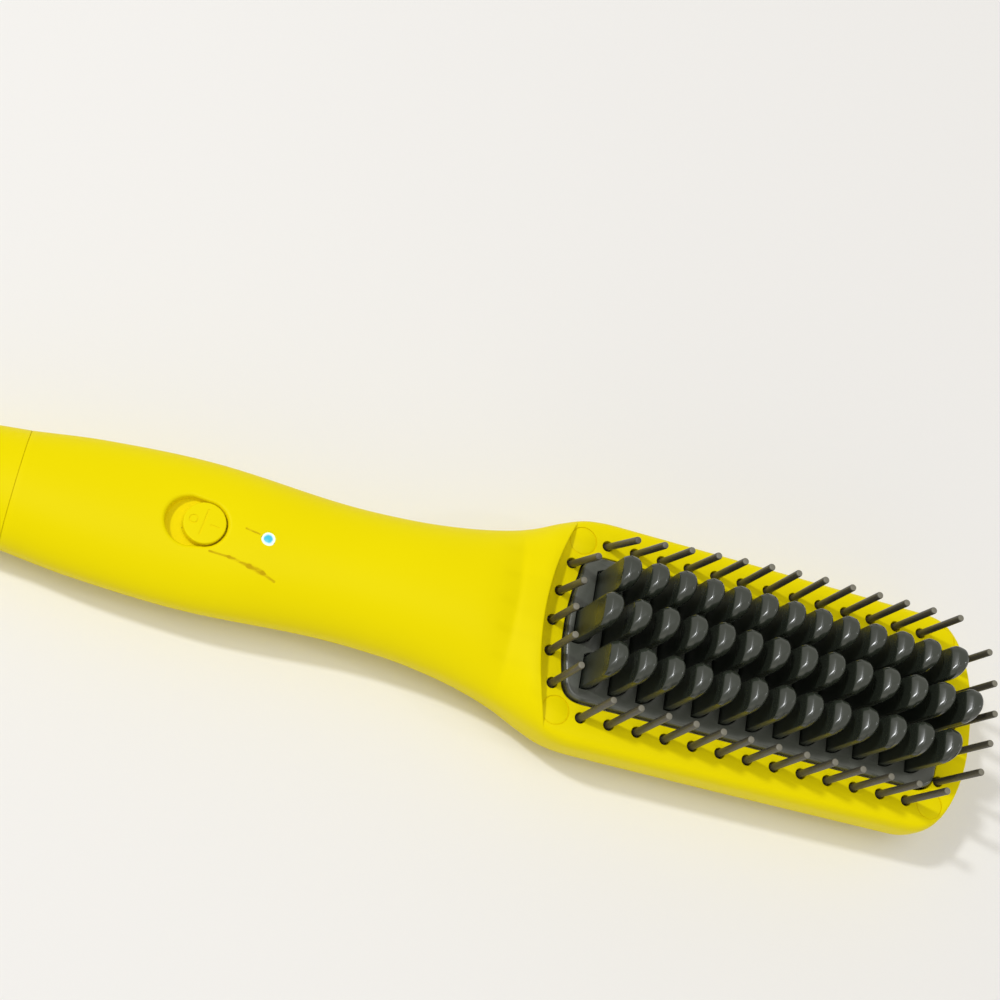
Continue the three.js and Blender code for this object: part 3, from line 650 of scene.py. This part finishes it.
def end_strip(side):
    """The curved moulded strip that an end column stands on."""
    reach = END_BRISTLES // 2 * END_PITCH + STRIP_HALF

    def where(turn, y):
        corner = round(turn * 4)
        x = STRIP_HALF if corner in (0, 3) else -STRIP_HALF
        z = STRIP_TOP if corner in (0, 1) else STRIP_TOP - STRIP_DEPTH
        return place(end_column(side, y) + x, y, z)

    return loft(4, spread(-reach, reach, 12), where)


# Teeth


# Section of a tooth, by its depth from the flat front: how far it reaches to either side,
# how far its crest lies below the top, and how round its shoulders are.
reach_left = curve((0, 3.3), (1.3, 4.0), (2.5, 4.0), (3.7, 3.4), (TOOTH_THICK, 1.9))
reach_right = curve((0, 4.15), (1.3, 4.2), (2.5, 3.6), (3.7, 2.3), (TOOTH_THICK, 0.5))
brow = curve(
    (0, 1.45), (0.3, 1.12), (0.6, 0.86), (0.9, 0.62), (1.2, 0.4), (1.45, 0.27), (1.8, 0.2),
    (2.4, 0.1), (3.1, 0.04), (3.5, 0.15), (4.0, 0.55), (TOOTH_THICK, 1.3),
)
shoulder_left = curve((0, 1.4), (1.3, 2.2), (2.5, 2.5), (3.7, 2.2), (TOOTH_THICK, 1.0))
shoulder_right = curve((0, 2.0), (1.3, 3.6), (2.5, 4.2), (3.7, 3.3), (TOOTH_THICK, 1.2))

# Depths at which a tooth has a section. They crowd where its crest bends.
TOOTH_DEPTHS = [
    0.4, 0.7, 1.0, 1.15, 1.27, 1.38, 1.5, 1.65, 1.9, 2.3, 2.7, 3.1, 3.35, 3.6, 3.85, 4.05,
    4.2, 4.3,
]


def tooth(x0, y0, height):
    """A round-shouldered blade: flat front with a crisp edge, softly domed back."""
    foot = BAR_TOP - BAR_JOIN
    # Depth and inset of the flat front, its edge, the blade and the close of its back
    levels = [(0.0, FRONT_EDGE + 0.5)] + rounding(FRONT_EDGE, 4)
    levels += [(deep, 0.0) for deep in TOOTH_DEPTHS]
    levels += [(TOOTH_THICK, 0.06), (TOOTH_THICK + 0.04, 0.3)]
    shear = splay(x0, TOOTH_SPLAY) / height

    def where(turn, level):
        deep, inset = level
        left = reach_left(deep) - inset
        right = -reach_right(deep) + inset
        r = shoulder_left(deep) - inset * 0.7
        q = shoulder_right(deep) - inset * 0.7
        top = height - brow(deep) - inset
        y, z = walk([
            line(3, (left, foot), (left, top - r)),
            quarter(8, left - r, top - r, r, 0),
            line(2, (left - r, top), (right + q, top)),
            quarter(12, right + q, top - q, q, 1),
            line(3, (right, top - q), (right, foot)),
            line(2, (right, foot), (left, foot)),
        ], turn)
        return place(x0 + deep + shear * max(0.0, z), y0 + y, z)

    return loft(TOOTH_SIDES, levels, where)


def tooth_hole(x0, y0):
    """The footprint of a tooth, grown into its hole."""
    def at(deep, side, margin):
        grown = TOOTH_HOLE + margin
        x = x0 + deep + grown * (2 * deep / TOOTH_THICK - 1)
        y = reach_left(deep) + grown if side > 0 else -reach_right(deep) - grown
        return x, y0 + y

    def outline(turn, margin):
        return walk([
            (10, lambda t: at(TOOTH_THICK * t, 1, margin)),
            line(2, at(TOOTH_THICK, 1, margin), at(TOOTH_THICK, -1, margin)),
            (10, lambda t: at(TOOTH_THICK * (1 - t), -1, margin)),
            line(2, at(0.0, -1, margin), at(0.0, 1, margin)),
        ], turn)

    return outline


# Rows of teeth: their place across, number, first place along and height
ROWS = {
    "left": (ROW_SPACING, TOOTH_COUNT, TOOTH_FIRST, TOOTH_HEIGHT),
    "middle": (0.0, TOOTH_COUNT + 1, TOOTH_FIRST - PITCH / 2, TOOTH_HEIGHT + MIDDLE_EXTRA),
    "right": (-ROW_SPACING, TOOTH_COUNT, TOOTH_FIRST, TOOTH_HEIGHT),
}
SCREWS = {
    "neck_left": (-SCREW_X, SCREW_Y), "neck_right": (-SCREW_X, -SCREW_Y),
    "tip_left": (SCREW_X, SCREW_Y), "tip_right": (SCREW_X, -SCREW_Y),
}


# Surfaces


class Value:
    """A shader value. Sums, differences and products of it add Math nodes."""

    def __init__(self, look, socket):
        self.look = look
        self.socket = socket

    def math(self, operation, first, second):
        return self.look.node("ShaderNodeMath", {"operation": operation}, {0: first, 1: second})

    def __add__(self, other):
        return self.math("ADD", self, other)

    __radd__ = __add__

    def __sub__(self, other):
        return self.math("SUBTRACT", self, other)

    def __rsub__(self, other):
        return self.math("SUBTRACT", other, self)

    def __mul__(self, other):
        return self.math("MULTIPLY", self, other)

    __rmul__ = __mul__


class Look:
    """A material in the making."""

    def __init__(self, name, **constants):
        self.made = bpy.data.materials.new(name)
        self.made.use_nodes = True
        self.tree = self.made.node_tree
        self.shader = self.tree.nodes["Principled BSDF"]
        for socket, value in constants.items():
            self.feed(self.shader.inputs[socket.replace("_", " ")], value)

    def feed(self, socket, value):
        """Links a shader value to a socket, or sets the socket to a plain value."""
        if isinstance(value, Value):
            self.tree.links.new(value.socket, socket)
        else:
            socket.default_value = value

    def node(self, kind, settings=None, sockets=None, out=0):
        """Adds a node: its settings first, then its sockets' values or links."""
        made = self.tree.nodes.new(kind)
        for key, value in (settings or {}).items():
            setattr(made, key, value)
        for key, value in (sockets or {}).items():
            self.feed(made.inputs[key], value)
        return Value(self, made.outputs[out])

    def where(self):
        """The place of a surface point in the brush's frame, in metres."""
        return self.node("ShaderNodeTexCoord", out="Object")

    def grain(self, scale, detail=3.0, rough=0.55, stretch=(1, 1, 1)):
        """Noise from 0 to 1. The scale is in cells for each metre."""
        at = self.node("ShaderNodeMapping", {}, {"Vector": self.where(), "Scale": stretch})
        return self.node("ShaderNodeTexNoise", {}, {
            "Vector": at, "Scale": scale, "Detail": detail, "Roughness": rough,
        })

    def step(self, value, low, high, start=0.0, end=1.0):
        """A soft step of a value between two limits."""
        return self.node("ShaderNodeMapRange", {"interpolation_type": "SMOOTHSTEP"}, {
            "Value": value, "From Min": low, "From Max": high, "To Min": start, "To Max": end,
        })

    def blend(self, mask, first, second):
        """One colour over another through a mask."""
        return self.node("ShaderNodeMix", {"data_type": "RGBA"}, {0: mask, 6: first, 7: second}, 2)

    def height(self):
        """The height of a surface point above the table, in metres."""
        return self.node("ShaderNodeSeparateXYZ", {}, {0: self.where()}, "Z")

    def vector(self, operation, first, second, out="Vector"):
        """Vector maths, out to a vector or to a plain value."""
        settings = {"operation": operation}
        return self.node("ShaderNodeVectorMath", settings, {0: first, 1: second}, out)

    def scratch(self, start, end, width):
        """A mask along a straight mark between two points of the brush."""
        a, b = place(*start, 0), place(*end, 0)
        a.z = b.z = 0
        flat = self.vector("MULTIPLY", self.where(), (1, 1, 0))
        off = self.vector("SUBTRACT", flat, a)
        along = (b - a) / (b - a).length_squared
        t = self.vector("DOT_PRODUCT", off, along, "Value")
        t = self.node("ShaderNodeClamp", {}, {"Value": t})
        foot = self.node("ShaderNodeVectorMath", {"operation": "SCALE"}, {0: b - a, "Scale": t})
        gap = self.vector("DISTANCE", off, foot, "Value")
        return self.step(gap, 0.0, width * MM, 1.0, 0.0)

    def finish(self, colour, roughness, height=None, depth=0.0):
        """Feeds the shader. The height makes bumps of a depth in millimetres."""
        self.feed(self.shader.inputs["Base Color"], colour)
        self.feed(self.shader.inputs["Roughness"], roughness)
        if height is not None:
            bump = self.node("ShaderNodeBump", {}, {"Height": height, "Distance": depth * MM})
            self.feed(self.shader.inputs["Normal"], bump)
        return self.made


def tone(r, g, b):
    """A colour written as on a screen, from 0 to 255."""
    def linear(v):
        v /= 255
        return v / 12.92 if v < 0.04045 else ((v + 0.055) / 1.055) ** 2.4

    return (linear(r), linear(g), linear(b), 1.0)


def yellow_shell(name, scuffed=False):
    """Satin moulded plastic, handled for a while."""
    look = Look(name, IOR=1.49, Specular_IOR_Level=0.05)
    cloud = look.grain(28, 4)
    skin = look.grain(2600, 2)
    colour = look.blend(cloud, tone(239, 220, 0), tone(244, 227, 0))
    roughness = 0.36 + cloud * 0.06 + skin * 0.05
    height = skin * 0.5
    if scuffed:
        rub = look.grain(1100, 4, 0.7, (0.35, 1.5, 1.0))
        marks = sum(look.scratch(start, end, width) for start, end, width in SCUFFS)
        mask = look.step(marks * (rub * 1.9 - 0.3), 0.1, 0.8)
        colour = look.blend(mask * 0.85, colour, tone(192, 156, 8))
        roughness = roughness + mask * 0.2
        height = height - mask * 2.0
    return look.finish(colour, roughness, height, 0.01)


def dark_gloss(name, dark, light, rough, dulled=0.0):
    """Glossy dark grey plastic of the plate and the teeth, duller low down by as much as asked."""
    look = Look(name, IOR=1.5)
    cloud = look.grain(60, 3)
    dust = look.step(look.grain(1500, 5, 0.75), 0.66, 0.8)
    colour = look.blend(cloud, dark, light)
    colour = look.blend(dust * 0.10, colour, tone(150, 150, 140))
    low, high = (FACE + DULL_LOW) * MM, (FACE + DULL_HIGH) * MM
    roughness = rough + look.step(look.height(), low, high, dulled, 0.0)
    roughness = roughness + cloud * 0.06 + dust * 0.1
    return look.finish(colour, roughness, look.grain(420, 2), 0.012)


def bristle_grey(name):
    """Satin olive grey nylon, with a painted highlight that makes the flat tips paler."""
    look = Look(name, IOR=1.5)
    top = FACE + BRISTLE_HEIGHT
    # Painted highlight: the flat tips get a paler tone that stands for the light they catch from
    # above
    tip = look.step(look.height(), (top - 0.35) * MM, (top - 0.05) * MM)
    cloud = look.grain(300, 3)
    colour = look.blend(cloud, tone(66, 63, 53), tone(80, 76, 65))
    colour = look.blend(tip, colour, tone(116, 113, 99))
    streak = look.grain(1800, 2, 0.5, (1, 1, 0.06))
    return look.finish(colour, 0.36 + cloud * 0.1, streak, 0.01)


def lit_lens_look(name):
    """Milky lens, lit from behind: cyan in the middle and white round it."""
    look = Look(name, IOR=1.45, Emission_Strength=0.9)
    away = look.vector("DISTANCE", look.where(), place(LED_X - 0.1, -0.1, LED_Z), "Value")
    spot = look.step(away + look.grain(1600, 2) * (0.5 * MM), 0.95 * MM, 1.55 * MM)
    glow = look.blend(spot, tone(70, 205, 230), tone(236, 255, 250))
    look.feed(look.shader.inputs["Emission Color"], glow)
    return look.finish(look.blend(spot, tone(14, 60, 80), tone(120, 130, 130)), 0.2 + spot * 0.1)


def plain(name, dark, light, rough, grain=900):
    """A finish for the parts inside: two close tones with a fine grain."""
    look = Look(name)
    cloud = look.grain(70, 4)
    fine = look.grain(grain, 3)
    return look.finish(look.blend(cloud, dark, light), rough + fine * 0.12, fine, 0.02)


def drawn_metal(name, dark, light, rough):
    """Metal with fine lines along the brush."""
    look = Look(name, Metallic=1.0)
    lines = look.grain(2400, 3, 0.6, (0.04, 1, 1))
    return look.finish(look.blend(lines, dark, light), rough + lines * 0.14, lines, 0.012)


SHELL = yellow_shell("yellow satin plastic")
SHELL_SCUFFED = yellow_shell("yellow satin plastic, scuffed", True)
GLOSS = dark_gloss("dark grey gloss plastic", tone(42, 47, 39), tone(50, 55, 46), 0.18, 0.2)
# Painted light: the plate is the teeth's plastic, given a lighter tone that stands for the sky its
# flat top mirrors
PLATE_GLOSS_PAINTED_LIGHTER = dark_gloss("dark grey plastic painted lighter for the plate", tone(74, 77, 69), tone(84, 87, 78), 0.24)
NYLON = bristle_grey("olive grey nylon")
RUBBER = plain("black rubber", tone(26, 26, 27), tone(36, 36, 36), 0.5)

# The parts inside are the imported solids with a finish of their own
INSIDE = {
    "contact_block": plain("black terminal plastic", tone(22, 22, 23), tone(34, 34, 33), 0.42),
    "control_board": plain("green board laminate", tone(18, 84, 44), tone(34, 108, 60), 0.36, 2600),
    "status_led": plain("clear lamp resin", tone(226, 226, 214), tone(238, 238, 230), 0.12),
    "heat_tray": plain("tray plastic", tone(222, 214, 192), tone(232, 226, 208), 0.5),
    "heat_spreader": drawn_metal(
        "spreader aluminium", tone(196, 198, 200), tone(220, 221, 222), 0.3,
    ),
    "heater_neck": plain("white ceramic", tone(228, 226, 214), tone(240, 238, 230), 0.55, 1600),
    "insulation_sheet": plain("mica sheet", tone(184, 156, 104), tone(220, 196, 150), 0.4, 500),
    "heater_clamp": drawn_metal("plated steel", tone(168, 170, 172), tone(196, 198, 200), 0.28),
    "heater_lead_left": plain("red silicone", tone(150, 38, 26), tone(172, 48, 34), 0.45, 1500),
}
SAME_FINISH = {
    "switch_body": "contact_block", "switch_slider": "contact_block", "heater_tip": "heater_neck",
    "thermal_fuse": "heater_clamp", "thermistor": "contact_block",
    "screw_neck_left": "heater_clamp", "screw_neck_right": "heater_clamp",
    "screw_tip_left": "heater_clamp", "screw_tip_right": "heater_clamp",
    "heater_lead_right": "heater_lead_left", "mains_lead_left": "contact_block",
    "mains_lead_right": "contact_block",
}
for name, like in SAME_FINISH.items():
    INSIDE[name] = INSIDE[like]
for name, look in INSIDE.items():
    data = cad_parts[name].data
    for i in range(len(data.materials)):
        data.materials[i] = look


# Housing


def stations():
    """Where the housing's rings stand along it, close together at the step, with their inset."""
    seam = [(HANDLE_END, SEAM_CHAMFER), (HANDLE_END + 0.13, 0.03), (HANDLE_END + 0.25, 0.0)]
    step = [-0.7, -0.5, -0.38, -0.27, -0.17, -0.08, -0.03, 0.0, 0.1, 0.5, 1.2, 2.2]
    along = spread(HANDLE_END + 1.5, FOLLOW_START, 46) + spread(-83, -67, 12)
    along += spread(-66, RECESS_X - 1.3, 19)
    along += [RECESS_X + d for d in step] + spread(-52.2, FOLLOW_END, 12)
    along += spread(-34.5, HEAD_END - END_ROUND, 32)
    tip = HEAD_END + END_BULGE
    along += [tip - END_ROUND * (1 - math.sin(t * QUARTER)) for t in spread(0.03, 0.93, 26)]
    return seam + [(x, 0.0) for x in along]


def outside():
    """The whole housing, solid."""
    return loft(SKIN_SIDES, stations(), lambda turn, at: skin_point(at[0], turn * math.tau, at[1]))


def cavity():
    """The hollow of the housing, level under the face of the head."""
    step = RECESS_X - STEP_WALL

    def where(turn, x):
        y, z = section(x, turn * math.tau, WALL)
        return place(x, y, min(z, -WALL) if x > step else z)

    along = [HANDLE_END - 1] + spread(-170, -66, 13) + [-62, step - 0.02, step + 0.02, -48]
    return loft(CAVITY_SIDES, along + spread(-40, 44, 6) + [48, 51, 53, 54.5, 55.3], where)


def crown_height(x, y):
    """How high the crown stands at a place on the handle."""
    mid = fullest(x)
    side = min(abs(y) / half_width(x), 0.99)
    power = crown_power(x)
    return mid + (crest(x) - mid) * (1 - side**power) ** (1 / power)


def switch_cut(levels):
    """A shape round the knob's path, by margin, height and whether it follows the crown."""
    def where(turn, level):
        margin, z, follows = level
        x, y = slot_outline(turn, margin)
        if follows:
            z += crown_height(KNOB_X + x, y) - KNOB_Z - math.tan(KNOB_SLOPE) * x
        return place(x, y, z)

    return on_slope(loft(SLOT_SIDES, levels, where))


def cut_recess(front):
    """Makes the recess of the switch, on a pad inside the shell and slotted for the stem."""
    pad = [(RECESS_SIDE + PAD_SIDE, z, False) for z in (PAD_BOTTOM, PAD_TOP)]
    carve(front, [switch_cut(pad)], "UNION")
    recess = [(RECESS_SIDE - 0.2, RECESS_FLOOR, False), (RECESS_SIDE, RECESS_FLOOR + 0.2, False)]
    recess += [(RECESS_SIDE + out, -down, True) for out, down in rounding(RECESS_SOFT, 6)]
    recess.append((RECESS_SIDE + RECESS_SOFT, 1.5, True))
    carve(front, [switch_cut(recess)])
    half = STEM / 2 + STEM_GAP
    slot = block(-KNOB_TRAVEL - half, half, -half, half, PAD_BOTTOM - 1, PAD_TOP)
    carve(front, [on_slope(slot)])


def wells():
    """The clearance holes of the bristles and the lamp, and then those of the plugs."""
    feet = [foot for row in bristle_places().values() for foot in row]
    rim = flared(WALL + 1, 0.2, WELL_EDGE)
    radius = BRISTLE_RADIUS + BRISTLE_HOLE
    small = [stack(circle(x, y, radius), rim, WELL_SIDES) for x, y in feet]
    lamp = circle(LED_X, 0, LENS_RADIUS + LENS_GAP)
    small.append(stack(lamp, [(0.0, -2), (0.0, LED_Z - 0.1), (0.15, LED_Z + 0.3)], LAMP_SIDES))
    rim = [(0.0, -WALL - 1), (0.0, 0.02)]
    radius = PLUG_RADIUS + PLUG_GAP
    return small, [stack(circle(x, y, radius), rim, PLUG_SIDES) for x, y in SCREWS.values()]


def build_front():
    """The upper half of the housing with all its openings."""
    front = raw_object("front_housing", halve(outside(), PARTING, True))
    carve(front, [cavity()])
    cut_recess(front)
    window = [(margin + WINDOW_GAP, z) for margin, z in flared(9)]
    carve(front, [stack(plate_outline, window, PLATE_SIDES)])
    for tools in wells():
        carve(front, tools)
    piece(front, SHELL_SCUFFED, "housing", "yellow_plastic", "front_shell")


def build_back():
    """The lower half of the housing."""
    back = raw_object("back_housing", halve(outside(), PARTING - GAP, False))
    carve(back, [cavity()])
    piece(back, SHELL, "housing", "yellow_plastic", "back_shell")


# End cap and swivel


def cap_ring(turn, t, inset):
    """A ring of the end cap, from the seam (0) to its end (1)."""
    y, z = section(HANDLE_END, turn * math.tau, inset)
    x = HANDLE_END - SEAM - (CAP_LENGTH - SEAM - inset) * min(t, 1.0)
    scale = 1 - CAP_TAPER * t - CAP_ROUND * (1 - math.sqrt(max(0.0, 1 - min(t, 1.0) ** 6)))
    return place(x, y * scale, SWIVEL_Z + (z - SWIVEL_Z) * scale)


def across_axis(bm):
    """Lays an upright turned shape along the brush, at the height of the swivel."""
    pivot = place(0, 0, 0)
    turn = Matrix.Rotation(-QUARTER, 4, "Y")
    shift = Matrix.Translation(place(0, 0, SWIVEL_Z))
    bm.transform(shift @ turn @ Matrix.Translation(-pivot))
    return bm


def cap_loft(count, inset, first):
    """The form of the end cap, or its hollow, from its first rings on."""
    levels = first + [(math.sin(t * QUARTER), inset) for t in spread(0, 1, count)]
    return loft(SKIN_SIDES, levels, lambda turn, level: cap_ring(turn, *level))


def build_cap():
    """The cap behind the seam, bored for the swivel."""
    cap = raw_object("end_cap_shell", cap_loft(20, 0.0, [(0.0, SEAM_CHAMFER), (0.005, 0.03)]))
    carve(cap, [cap_loft(8, WALL, [(-0.05, WALL)])])
    end = CAP_LENGTH - HANDLE_END
    bore = SWIVEL_RADIUS + GAP
    mouth = bore + BORE_CHAMFER
    profile = [
        (0, end - 8), (bore, end - 8), (bore, end - BORE_CHAMFER), (mouth, end), (mouth, end + 3),
        (0, end + 3),
    ]
    carve(cap, [across_axis(lathe(profile, (0, 0), SWIVEL_SIDES))])
    piece(cap, SHELL, "housing", "yellow_plastic", "end_cap")


def build_swivel():
    """The turning gland: a flange inside the cap and a tube with a rounded end."""
    flange = CAP_LENGTH - HANDLE_END - WALL - FLANGE_GAP
    end = CAP_LENGTH - HANDLE_END + SWIVEL_REACH
    r = SWIVEL_RADIUS
    profile = [
        (0, flange - FLANGE_THICK), (r + FLANGE_WIDE, flange - FLANGE_THICK),
        (r + FLANGE_WIDE, flange), (r, flange), (r, end - 2), (r - 0.12, end - 1.3),
        (r - 0.5, end - 0.6), (r - 1.2, end), (0, end),
    ]
    gland = raw_object("cord_gland", across_axis(lathe(profile, (0, 0), SWIVEL_SIDES)))
    piece(gland, RUBBER, "cord_swivel", "black_rubber", "cord_swivel")


# Switch and lamp


def mark_bar(x0, y0, x1, y1, wide):
    """A narrow groove between two points of the knob's top."""
    bm = block(0, math.dist((x0, y0), (x1, y1)), -wide / 2, wide / 2, -MARK_DEPTH, 0.5)
    turn = Matrix.Rotation(math.atan2(y1 - y0, x1 - x0), 4, "Z")
    bm.transform(Matrix.Translation(Vector((x0, y0, 0)) * MM) @ turn)
    return bm


def mark_ring(x0, y0, radius, wide):
    """A ring-shaped groove in the knob's top."""
    outer, inner = radius + wide / 2, radius - wide / 2
    disc = lathe([(outer, -MARK_DEPTH), (outer, 0.5)], (x0, y0), MARK_SIDES)
    ring = raw_object("ring", disc)
    carve(ring, [lathe([(inner, -MARK_DEPTH - 1), (inner, 1)], (x0, y0), MARK_SIDES)])
    made = bmesh.new()
    made.from_mesh(ring.data)
    bpy.data.objects.remove(ring)
    return made


def build_knob():
    """The knob of the switch with its stem and its marks, tilted to the slope of the handle."""
    foot = RECESS_FLOOR + GAP
    profile = [(0, foot), (KNOB_RADIUS, foot)]
    profile += [(KNOB_RADIUS - inward, -down) for inward, down in rounding(KNOB_ROUND, 6)]
    knob = raw_object("slide_knob", lathe(profile + [(0, 0)], (0, 0), KNOB_SIDES))
    half = STEM / 2
    stem = block(-half, half, -half, half, -KNOB_DEPTH - STEM_LENGTH, foot + 0.4)
    carve(knob, [stem], "UNION")
    carve(knob, [mark_ring(*MARK_RING)] + [mark_bar(*bar) for bar in MARK_BARS])
    tilted = bmesh.new()
    tilted.from_mesh(knob.data)
    on_slope(tilted)
    tilted.to_mesh(knob.data)
    tilted.free()
    piece(knob, SHELL, "power_slider", "yellow_plastic", "switch_knob")


def build_lens():
    """The small lit lens in front of the switch, softly domed."""
    foot = LED_Z - LENS_DEPTH
    top = LED_Z - 0.05
    r = LENS_RADIUS
    lens = raw_object("lamp_lens", lathe([
        (0, foot), (r, foot), (r, top - 0.35), (r - 0.1, top - 0.15), (r - 0.4, top - 0.03),
        (0, top),
    ], (LED_X, 0), LAMP_SIDES))
    piece(lens, lit_lens_look("lit lens"), "housing", "lit_lens", "led_lens")


# Plate, teeth, bristles and plugs


def build_plate():
    """The plate in the face, pierced for the teeth."""
    bottom = PLATE_RISE - PLATE_THICK
    levels = [(-PLATE_CHAMFER, bottom), (0.0, bottom + PLATE_CHAMFER)]
    levels += [(-inward, PLATE_RISE - down) for inward, down in rounding(PLATE_ROUND, 7)]
    plate = raw_object("face_plate", stack(plate_outline, levels, PLATE_SIDES))
    rim = [(margin, z + PLATE_RISE) for margin, z in flared(4, 1.0, HOLE_EDGE, 3)]
    holes = []
    for y, count, first, _ in ROWS.values():
        holes += [stack(tooth_hole(first + i * PITCH, y), rim, HOLE_SIDES) for i in range(count)]
    carve(plate, holes)
    piece(plate, PLATE_GLOSS_PAINTED_LIGHTER, "housing", "dark_grey_plastic", "cover_plate")


def build_teeth(name, y, count, first, height):
    """A row of teeth on the bar that carries them under the plate."""
    start = first + BAR_SHORT
    stop = first + PITCH * (count - 1) + TOOTH_THICK - BAR_SHORT
    bar = block(start, stop, y - BAR_HALF, y + BAR_HALF, BAR_TOP - BAR_DEPTH, BAR_TOP)
    row = raw_object("teeth_" + name, bar)
    carve(row, [tooth(first + i * PITCH, y, height) for i in range(count)], "UNION")
    piece(row, GLOSS, "housing", "dark_grey_plastic", "tooth_row_" + name)


def build_bristles(name, feet):
    """A row of bristles on its strip."""
    if name in ("left", "right"):
        strip = side_strip(feet[0][1])
    else:
        strip = end_strip(-1 if name == "neck" else 1)
    row = raw_object("bristle_row_" + name, strip)
    carve(row, [bristle(x, y) for x, y in feet], "UNION")
    piece(row, NYLON, "housing", "bristle_nylon", "bristles_" + name)


def build_plug(name, x, y):
    """A round plug over a screw. Its top draws in and leaves a shallow groove round it."""
    r = PLUG_RADIUS
    skirt = r + PLUG_SKIRT
    plug = raw_object("plug_disc_" + name, lathe([
        (0, -PLUG_DEPTH), (skirt, -PLUG_DEPTH), (skirt, -0.3), (r, -0.24), (r - 0.05, -0.09),
        (r - 0.2, -0.02), (0, -0.02),
    ], (x, y), PLUG_SIDES))
    piece(plug, SHELL, "housing", "yellow_plastic", "plug_" + name)


# Table, lamps and camera


def build_table():
    """A pale round table, a little under the brush."""
    bm = bmesh.new()
    bmesh.ops.create_circle(bm, cap_ends=True, segments=64, radius=TABLE_RADIUS)
    bmesh.ops.translate(bm, vec=(0, 0, -TABLE_DROP), verts=bm.verts)
    floor = raw_object("table", bm)
    look = Look("pale table", IOR=1.45)
    cloud = look.grain(2.5, 3)
    colour = look.blend(cloud, tone(239, 238, 236), tone(243, 242, 240))
    floor.data.materials.append(look.finish(colour, 0.6 + cloud * 0.1))


def build_sky():
    """A soft warm sky, at full strength only where it is seen or mirrored."""
    world = bpy.data.worlds.new("studio")
    bpy.context.scene.world = world
    world.use_nodes = True
    nodes, links = world.node_tree.nodes, world.node_tree.links
    sky = nodes["Background"]
    path = nodes.new("ShaderNodeLightPath")
    bright = nodes.new("ShaderNodeMapRange")
    bright.inputs["To Min"].default_value = SKY_LIGHT
    bright.inputs["To Max"].default_value = 1.0
    seen = nodes.new("ShaderNodeMath")
    seen.operation = "MAXIMUM"
    links.new(path.outputs["Is Camera Ray"], seen.inputs[0])
    links.new(path.outputs["Is Glossy Ray"], seen.inputs[1])
    links.new(seen.outputs[0], bright.inputs["Value"])
    links.new(bright.outputs[0], sky.inputs["Strength"])
    sky.inputs["Color"].default_value = SKY_COLOUR


def build_lamp(name, direction, width, height, watts, colour):
    """An oval lamp that looks at the middle of the head."""
    lamp = bpy.data.lights.new(name, "AREA")
    lamp.shape = "ELLIPSE"
    lamp.size = width
    lamp.size_y = height
    lamp.energy = watts
    lamp.color = colour
    towards = Vector(direction).normalized()
    holder = bpy.data.objects.new(name, lamp)
    holder.location = towards * LAMP_AWAY
    holder.rotation_euler = towards.to_track_quat("Z", "Y").to_euler()
    bpy.context.scene.collection.objects.link(holder)


def build_camera():
    """The camera as solved from the photograph."""
    eye = bpy.data.cameras.new("camera")
    eye.lens = CAMERA_LENS
    eye.sensor_width = CAMERA_SENSOR
    eye.clip_end = CAMERA_SIGHT
    camera = bpy.data.objects.new("camera", eye)
    backward = -Vector(EYE_FORWARD)
    turn = Matrix((Vector(EYE_RIGHT), Vector(EYE_UP), backward)).transposed().to_4x4()
    camera.matrix_world = Matrix.Translation(EYE) @ turn
    bpy.context.scene.collection.objects.link(camera)
    bpy.context.scene.camera = camera
    bpy.context.scene.view_settings.view_transform = "Standard"


# The whole brush and its stage

build_front()
build_back()
build_cap()
build_swivel()
build_knob()
build_lens()
build_plate()
for name, row in ROWS.items():
    build_teeth(name, *row)
for name, feet in bristle_places().items():
    build_bristles(name, feet)
for name, spot in SCREWS.items():
    build_plug(name, *spot)
build_table()
build_sky()
for name, lamp in LAMPS.items():
    build_lamp(name, *lamp)
build_camera()
